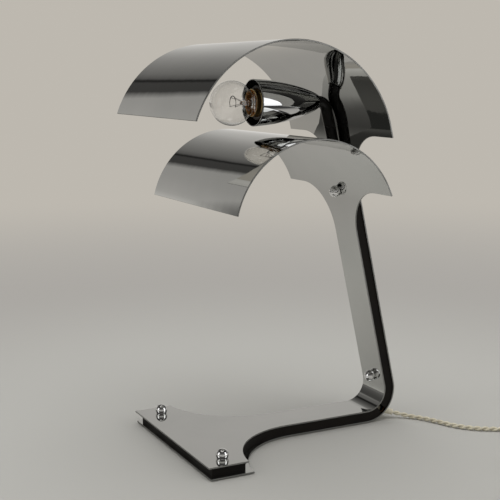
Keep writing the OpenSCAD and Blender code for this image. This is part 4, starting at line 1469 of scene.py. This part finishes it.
@dataclass(frozen=True)
class Arm:
    """The black tube: flattened between the plates, round above them, then bent to the cup.

    Attributes:
        side: the lines that the plates share.
        d: diameter of the round part.
        flat_w: width of the flattened foot.
        flat_t: its thickness.
        foot_v: height up the stem of its lower end.
        flat_top_v: height where it begins to turn round.
        round_v: height from which it is round.
        flat_n: distance of the flat part's middle from the stem's front face.
        round_n: the same for the round part's start.
        lean: extra lean of the round part, degrees.
        bend_r: radius of the bend at the top.
        cup_z: height of the cup's axis.
        end_l: straight length after the bend.
    """

    side: SideView = SideView()
    d: float = 12.0
    flat_w: float = 14.6
    flat_t: float = 9.8
    foot_v: float = 236.0
    flat_top_v: float = 264.0
    round_v: float = 286.0
    flat_n: float = 6.5
    round_n: float = 4.7
    lean: float = 1.6
    bend_r: float = 10.0
    cup_z: float = 335.8
    end_l: float = 1.5

    @property
    def tilt(self) -> float:
        """The round part's lean from upright, degrees."""
        return self.side.lean + self.lean

    @property
    def bend_x(self) -> float:
        """X of the bend's centre, where the round part's line meets the bend."""
        start = self.side.stem(self.round_n, self.round_v)
        c, s = math.cos(math.radians(self.tilt)), math.sin(math.radians(self.tilt))
        rise = (self.cup_z - self.bend_r * (1 - s) - start[2]) / c
        return float(start[0] - rise * s - self.bend_r * c)

    def rings(self) -> tuple[Array, Array, Array, Array]:
        """The tube's rings from its foot to its tail.

        Returns:
            Middle (n, 3), outward direction (n, 3), width (n,) and thickness (n,) of each ring.
        """
        v = np.concatenate(
            [[self.foot_v, self.flat_top_v], np.linspace(self.flat_top_v, self.round_v, 26)[1:]]
        )
        share = np.clip((v - self.flat_top_v) / (self.round_v - self.flat_top_v), 0, 1)
        k = share**2 * (3 - 2 * share)
        middle = [self.side.stem(self.flat_n * (1 - k) + self.round_n * k, v)]
        turn = np.radians(self.side.lean + self.lean * k)
        b = np.radians(np.linspace(self.tilt, 90, 30))
        z0 = self.cup_z - self.bend_r
        x, z = self.bend_x + self.bend_r * np.cos(b), z0 + self.bend_r * np.sin(b)
        middle += [np.stack([x, 0 * b, z], -1), [[self.bend_x - self.end_l, 0, self.cup_z]]]
        turn = np.concatenate([turn, b, [math.pi / 2]])
        out = np.stack([np.cos(turn), 0 * turn, np.sin(turn)], -1)
        more = np.full(len(b) + 1, self.d)
        width = np.concatenate([self.flat_w * (1 - k) + self.d * k, more])
        thick = np.concatenate([self.flat_t * (1 - k) + self.d * k, more])
        return np.vstack(middle), out, width, thick

    def build(self) -> Object:
        """Make the tube's skin.

        A point at angle a of a ring is its middle - ((width - thickness)/2 sign(cos a) + r cos a) Y
        + r sin a N, with r half the thickness and N the ring's outward direction.

        Returns:
            The tube.
        """
        middle, out, width, thick = self.rings()
        sides = 56
        a = 2 * np.pi * (np.arange(sides) + 0.5) / sides
        r = thick[:, None] / 2
        y = -((width - thick)[:, None] / 2 * np.sign(np.cos(a)) + r * np.cos(a))
        points = middle[:, None] + (r * np.sin(a))[..., None] * out[:, None]
        points[..., 1] += y
        n = len(middle)
        faces = grid_quads(n, sides, True).tolist()
        faces += [list(range(sides)), list(range((n - 1) * sides, n * sides))]
        obj = add_object("bent_arm_tube", to_row(points.reshape(-1, 3)), faces, 50)
        merge_close(obj)
        return settle(obj, "black_paint", "arm_tube")


# ---------------------------------------------------------------- cup, holder and bulb


@dataclass(frozen=True)
class CupAxis:
    """The line through the cup, the holder and the bulb. s is the depth from the cup's mouth.

    Attributes:
        mouth_x: X of the mouth.
        z: height of the line.
    """

    mouth_x: float
    z: float

    def axis(self) -> Axis:
        """The turning axis: s runs along +X, angle 0 points down."""
        return Axis((self.mouth_x, 0.0, self.z), (1, 0, 0), (0, 0, -1))

    def local(self, x: Array, y: Array, s: Array) -> Array:
        """Drawing-frame point from x (down), y and depth s."""
        x, y, s = np.broadcast_arrays(x, y, s)
        return np.stack([self.mouth_x + s, y, self.z - x], -1)

    def mouth(self) -> Array:
        """Middle of the cup's mouth in the row frame."""
        return to_row(np.array([self.mouth_x, 0, self.z]))


def thread(top_r: float, start: float) -> Array:
    """Five turns of a rolled thread: r is top_r - HALF_THREAD (1 - cos(2 pi (s - start) / PITCH)).

    Args:
        top_r: its greatest radius.
        start: depth where it starts.

    Returns:
        (121, 2) radii and depths.
    """
    s = np.linspace(start, start + 5 * PITCH, 121)
    r = top_r - HALF_THREAD * (1 - np.cos(2 * np.pi * (s - s[0]) / PITCH))
    return np.stack([r, s], -1)


@dataclass(frozen=True)
class Cup:
    """The bullet-shaped chrome cup, black inside.

    Attributes:
        line: its axis.
        length: from its mouth to its tail.
        mouth_d: outer diameter at the mouth.
        tail_d: outer diameter at the tail.
        wall: its wall.
        bore_r: radius of the hole in its tail.
    """

    line: CupAxis
    length: float = 75.0
    mouth_d: float = 47.4
    tail_d: float = 14.4
    wall: float = 0.8
    bore_r: float = 4.8

    def radius(self, s: Array) -> Array:
        """Outer radius at depth s: tail + (mouth - tail) (1 - (s / length)^1.8)^0.85, halved."""
        u = np.clip(np.asarray(s, float) / self.length, 0, 1)
        return self.tail_d / 2 + (self.mouth_d - self.tail_d) / 2 * (1 - u**1.8) ** 0.85

    def build(self) -> Object:
        """Make the cup: lip, outer skin, tail and inner skin, turned round its axis.

        Returns:
            The cup.
        """
        s = self.length * np.sin(np.linspace(0, np.pi / 2, 90)) ** 0.9
        s = np.concatenate([[0.9, 2.0], s[(s > 3) & (s < self.length)], [self.length]])
        outer = np.stack([self.radius(s), s], -1)
        lip_a = np.linspace(np.pi, 0, 9)
        half = self.wall / 2
        top = self.radius(half) - half
        lip = np.stack([top - half * np.cos(lip_a), half - half * np.sin(lip_a)], -1)
        inner_l = self.length - self.wall
        t = np.linspace(0.5, inner_l, 60)
        inner = np.stack([self.radius(t + half) - self.wall, t], -1)[::-1]
        tail = [[self.bore_r, self.length], [self.bore_r, inner_l]]
        profile = np.vstack([lip, outer, tail, inner])
        obj = turned("bullet_cup", self.line.axis(), profile, 128)
        settle(obj, "chrome_cup", "socket_cup", finishes=("chrome_cup", "cup_black"))
        depth, y, z = ((per_face(obj, "center") - self.line.mouth()) * 1000).T
        inside = np.hypot(y, z) < self.radius(depth) - self.wall / 2
        use_second(obj, inside & (depth > half + 0.05))
        return obj


@dataclass(frozen=True)
class Holder:
    """The lamp holder inside the cup: sleeve, cap and screw shell.

    Attributes:
        line: the cup's axis.
        d: its outer diameter.
        front: depth of its front edge.
        split: depth of the joint between sleeve and cap.
        shell_r: inner radius of the screw shell's flat part.
        insert_s: depth of the ceramic insert.
    """

    line: CupAxis
    d: float = 35.6
    front: float = 4.0
    split: float = 40.0
    shell_r: float = 13.85
    insert_s: float = 27.5

    def sleeve(self) -> Object:
        """The moulded front sleeve with eased edges."""
        r = self.d / 2
        corners = [
            [r - 0.6, self.front], [r, self.front + 1], [r, self.split], [r - 2.8, self.split],
            [r - 2.8, self.front + 2], [self.shell_r + 0.55, self.front + 1],
            [self.shell_r + 0.55, self.front],
        ]  # fmt: skip
        obj = turned("holder_front_sleeve", self.line.axis(), eased(corners, 0.35), 96)
        return settle(obj, "holder_plastic", "holder_sleeve")

    def shell(self) -> Object:
        """The rolled screw shell, closed by a ring at its back."""
        wave = thread(self.shell_r + SHEET + HALF_THREAD, self.front + 1.5)
        end = self.insert_s - 0.1
        back = [
            [self.shell_r, end - SHEET], [self.shell_r, end], [6, end], [6, end - SHEET],
            [self.shell_r - SHEET, end - SHEET],
        ]  # fmt: skip
        profile = np.vstack([wave, back, (wave - [SHEET, 0])[::-1]])
        obj = turned("rolled_screw_shell", self.line.axis(), profile, 96)
        return settle(obj, "brass", "screw_shell")

    def build(self, nodes: dict[str, Object]) -> None:
        """Make the visible parts and dress the CAD solids behind them."""
        self.sleeve()
        self.shell()
        dress_solids(nodes, "holder_plastic", "holder_cap")
        dress_solids(nodes, "ceramic", "holder_insert")
        brass = ("centre_contact", "terminal_screws", "cup_nipple", "cup_ring_nut")
        dress_solids(nodes, "brass", *brass)


@dataclass(frozen=True)
class Bulb:
    """A clear round bulb with an E27 screw cap. s is measured from the cup's mouth.

    Attributes:
        line: the cup's axis.
        globe_r: radius of the globe.
        globe_s: distance of its centre in front of the mouth.
        globe_end: degrees from the globe's front to where its shoulder begins.
        glass_t: thickness of the glass.
        neck_r: radius of the neck.
        rim_s: depth of the cap's rim.
        cap_r: radius over the thread.
        contact_s: depth of the end contact.
    """

    line: CupAxis
    globe_r: float = 22.5
    globe_s: float = 22.9
    globe_end: float = 142.0
    glass_t: float = 0.6
    neck_r: float = 11.7
    rim_s: float = -1.4
    cap_r: float = 13.1
    contact_s: float = 25.0

    def glass_line(self, inset: float) -> Array:
        """The globe's arc, a hollow shoulder and the neck, set in by inset."""
        a = np.radians(self.globe_end * np.linspace(0, 1, 70))
        r = self.globe_r - inset
        globe = np.stack([r * np.sin(a), -self.globe_s - r * np.cos(a)], -1)
        r0, s0 = globe[-1]
        b = np.radians(np.linspace(0, 90, 16)[1:])
        narrow = r0 - (r0 - self.neck_r + inset) * np.sin(b)
        shoulder = np.stack([narrow, s0 + (self.rim_s + 1 - s0) * (1 - np.cos(b))], -1)
        return np.vstack([globe, shoulder, [[self.neck_r - inset, 3.5]]])

    def piece(self, name: str, profile: Array, sides: int, slot: str, *nodes: str) -> None:
        """Turn a closed wall that begins and ends on the axis, and settle it on the bulb."""
        obj = turned(name, self.line.axis(), profile, sides, closed=False)
        settle(obj, slot, *nodes, body="bulb")

    def glass(self) -> None:
        """The blown glass, as a closed wall, and the pressed stem inside it."""
        profile = np.vstack([self.glass_line(0.0), self.glass_line(self.glass_t)[::-1]])
        self.piece("bulb_glass_globe", profile, 112, "bulb_clear", "bulb_glass")
        inner = self.neck_r - self.glass_t - 0.1
        stem = [
            [0, -14], [1.6, -13.6], [2.1, -11], [2.4, -6], [3.4, -1.5], [6.5, 1.2],
            [inner, 2.6], [inner, 3.4], [5.6, 2.6], [0, 0],
        ]  # fmt: skip
        profile = eased(stem, 1.2, closed=False)
        self.piece("bulb_glass_stem", profile, 48, "bulb_clear", "bulb_stem")

    def filament(self) -> None:
        """The coiled filament, a helix round an arc of 240 degrees, held by four wires."""
        loop_r, loop_s, turns, coil_r = 7.0, -self.globe_s + 1, 70, 0.36
        u = np.linspace(0, 1, turns * 9)
        a = np.radians(60 + 240 * u)
        turn = 2 * np.pi * turns * u
        r = loop_r + coil_r * np.cos(turn)
        helix = self.line.local(r * np.cos(a), r * np.sin(a), loop_s + coil_r * np.sin(turn))
        runs = [(helix, 0.1)]
        root_r, root_s, eye_r = 2.35, -13.2, 0.5  # where the wires start, and their eyes' radius
        t, eye = np.linspace(0, 1, 14), np.linspace(0, 2 * np.pi, 13)
        for angle in np.radians([60, 140, 220, 300]):
            c, s = math.cos(angle), math.sin(angle)
            r = root_r + (loop_r - root_r) * t
            depth = root_s + (loop_s - root_s) * t**1.15
            runs.append((self.line.local(r * c, r * s, depth), 0.22))
            r = loop_r + eye_r * np.cos(eye)
            runs.append((self.line.local(r * c, r * s, loop_s + eye_r * np.sin(eye)), 0.16))
        obj = rod_object("bulb_filament_coil", runs, 6, np.array([0.13, 0.31, 0.94]))
        settle(obj, "filament_metal", "bulb_filament", body="bulb")

    def cap(self) -> None:
        """The screw cap with its rolled thread, the cement inside its rim, and its end."""
        r, rim, metal = self.cap_r, self.rim_s, "bulb_cap_metal"
        insulator, end = self.contact_s - 2.2, self.contact_s - 0.6
        wave = thread(r, 2)
        flare = [[r + 0.75, rim], [r + 0.35, rim + 0.8], [r + 0.1, 0.6]]
        base = [[9.6, insulator], [9.2, insulator]]
        lip = [[r - 0.3, 0.6], [r - 0.05, rim]]
        profile = np.vstack([flare, wave, base, (wave - [SHEET, 0])[::-1], lip])
        obj = turned("bulb_screw_cap", self.line.axis(), profile, 96)
        settle(obj, metal, "bulb_cap", body="bulb", finishes=(metal, "bulb_cap_cement"))
        away = (per_face(obj, "center") - self.line.mouth()) * 1000
        outward = np.einsum("ij,ij->i", away[:, 1:], per_face(obj, "normal")[:, 1:])
        use_second(obj, outward < -1)
        near, far, back = self.neck_r + 0.06, r - 0.45, self.neck_r - 0.75
        cement = [
            [0, 5.2], [back, 5.2], [back, 4.2], [near, 3.9], [near + 0.03, 1.6], [far - 0.1, 1.4],
            [far, -0.2], [far - 0.3, -1.1], [near, -0.7], [near, 3.8], [back, 4.1], [0, 4.4],
        ]  # fmt: skip
        obj = turned("bulb_cap_cement_ring", self.line.axis(), cement, 64, closed=False)
        settle(obj, metal, body="bulb", finishes=("bulb_cap_cement",))
        black = [
            [0, insulator - 1.5], [9.1, insulator - 1.5], [9.1, insulator], [9.4, insulator + 0.1],
            [5, end], [0, end],
        ]  # fmt: skip
        black = eased(black, 0.3, closed=False)
        self.piece("bulb_cap_insulator", black, 64, "bulb_black", "bulb_insulator")
        tip = [[0, end], [4.6, end], [3.8, self.contact_s - 0.1], [0, self.contact_s]]
        tip = eased(tip, 0.3, closed=False)
        self.piece("bulb_end_contact", tip, 48, metal, "bulb_contact")

    def build(self) -> None:
        """Make the glass, the filament and the cap."""
        self.glass()
        self.filament()
        self.cap()


# ---------------------------------------------------------------- wires inside the lamp


@dataclass(frozen=True)
class Wires:
    """The live and neutral wires from the sleeve up through the spacer and the arm.

    Attributes:
        arm: the arm that they run through.
        line: the cup's axis.
        hole: where the sleeve's axis leaves the plate, row-frame millimetres.
        tip: where the sleeve ends.
        exit_angle: degrees below level round the bend where the sleeve is.
        core_angle: the same for the end of the spacer.
        channel_y: distance of the spacer's channel from the lamp's middle.
        channel_depth: its depth.
        offset: half the distance between the wires.
        d: diameter of a wire.
        core_top_v: height up the stem of the spacer's upper end.
    """

    arm: Arm
    line: CupAxis
    hole: Triple
    tip: Triple
    exit_angle: float = 48.5
    core_angle: float = 42.0
    channel_y: float = 10.0
    channel_depth: float = 5.0
    offset: float = 1.3
    d: float = 2.4
    core_top_v: float = 262.0

    def path(self, way: int) -> Array:
        """The points that one wire passes through.

        Args:
            way: -1 for the live wire, 1 for the neutral wire.

        Returns:
            (n, 3) points in the drawing frame.
        """
        side, arm = self.arm.side, self.arm
        hole, tip = to_drawing(self.hole), to_drawing(self.tip)
        sleeve = unit(tip - hole)
        across = self.offset * way * unit(np.cross([0, 0, 1], sleeve))
        run_n = Stack.outer.off - self.channel_depth / 2
        run_y = -self.channel_y + way * self.offset
        flat_y = way * (2.7 + self.d / 2 + 0.1)
        arm_y = way * self.offset

        points = [tip + across, hole - CordFittings.inside * sleeve + across]
        for n, angle, y in (
            (4.3, self.exit_angle + 1, 5.4), (4.6, self.core_angle - 5, 3), (6.6, 31, 1),
            (run_n - 0.6, 22, 0), (run_n, 12, 0), (run_n, 0, 0), (run_n, -12, 0),
        ):  # fmt: skip
            points.append(side.bend(side.bend_r + n, angle, run_y + y))
        foot = arm.foot_v
        for n, v, y in (
            (run_n, side.tangent_l + 6, run_y), (run_n, foot - 60, run_y),
            (run_n, foot - 12, run_y), (run_n - 1, foot - 8, run_y + 2),
            (arm.flat_n, foot - 2, flat_y - 1), (arm.flat_n, foot + 3, flat_y),
            (arm.flat_n, self.core_top_v, flat_y), (arm.round_n, arm.round_v, arm_y),
        ):  # fmt: skip
            points.append(side.stem(n, v, y))
        r, mouth = arm.bend_r, self.line.mouth_x
        for a in range(0, 100, 20):
            b = math.radians(arm.tilt + (90 - arm.tilt) * a / 100)
            points.append([arm.bend_x + r * math.cos(b), arm_y, arm.cup_z - r * (1 - math.sin(b))])
        for x, y in (
            (arm.bend_x - 0.5, arm_y), (mouth + 54, arm_y), (mouth + 49, way * 4),
            (mouth + 43, way * 8), (mouth + 40.2, way * 8),
        ):  # fmt: skip
            points.append([x, y, arm.cup_z])
        return np.array(points)

    def build(self) -> None:
        """Make both wires, straight from point to point."""
        up = np.array([0.05, 1.0, 0.02])
        for way, name in ((-1, "live"), (1, "neutral")):
            obj = rod_object(f"{name}_wire_core", [(self.path(way), self.d / 2)], 12, up)
            settle(obj, f"{name}_insulation", f"{name}_wire")


# ---------------------------------------------------------------- main


def main() -> None:
    """Build the scene in order: frame, camera, cords, stage, then the lamp's sub-assemblies."""
    logging.basicConfig(level=logging.INFO, format="%(name)s: %(message)s")
    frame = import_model()
    nodes = frame["nodes"]
    CameraRig().build()

    arm, cord, thickness = Arm(), TwistedCord(), BentPlate.thickness
    line = CupAxis(arm.bend_x - arm.end_l - Cup.length, arm.cup_z)
    outside = arm.side.bend_r + (Stack.outer.off + thickness)
    x, y, z = arm.side.bend(outside, Wires.exit_angle, CordFittings.hole_y).tolist()
    hole = (x - MID_X, y, z + LIFT)
    run = cord.build()
    fittings = CordFittings(hole, cord.lead[0])
    on_cord = [fittings.sleeve(), fittings.tie(cord)]
    for slot, *names in (
        ("white_plastic", "switch_base", "switch_cover"),
        ("rocker_plastic", "switch_rocker"),
        ("brass", "switch_contacts"),
        ("plain_steel", "switch_screws"),
        ("white_plastic", "plug_body"),
        ("pin_metal", "plug_pins"),
    ):
        on_cord += dress_solids(nodes, slot, *names)
    cord.declare(run, on_cord)

    Studio().build()
    Stack().build(nodes)
    Fasteners().build(nodes)
    arm.build()
    Cup(line).build()
    Holder(line).build(nodes)
    Bulb(line).build()
    Wires(arm, line, hole, cord.lead[0]).build()


if __name__ == "__main__":
    main()
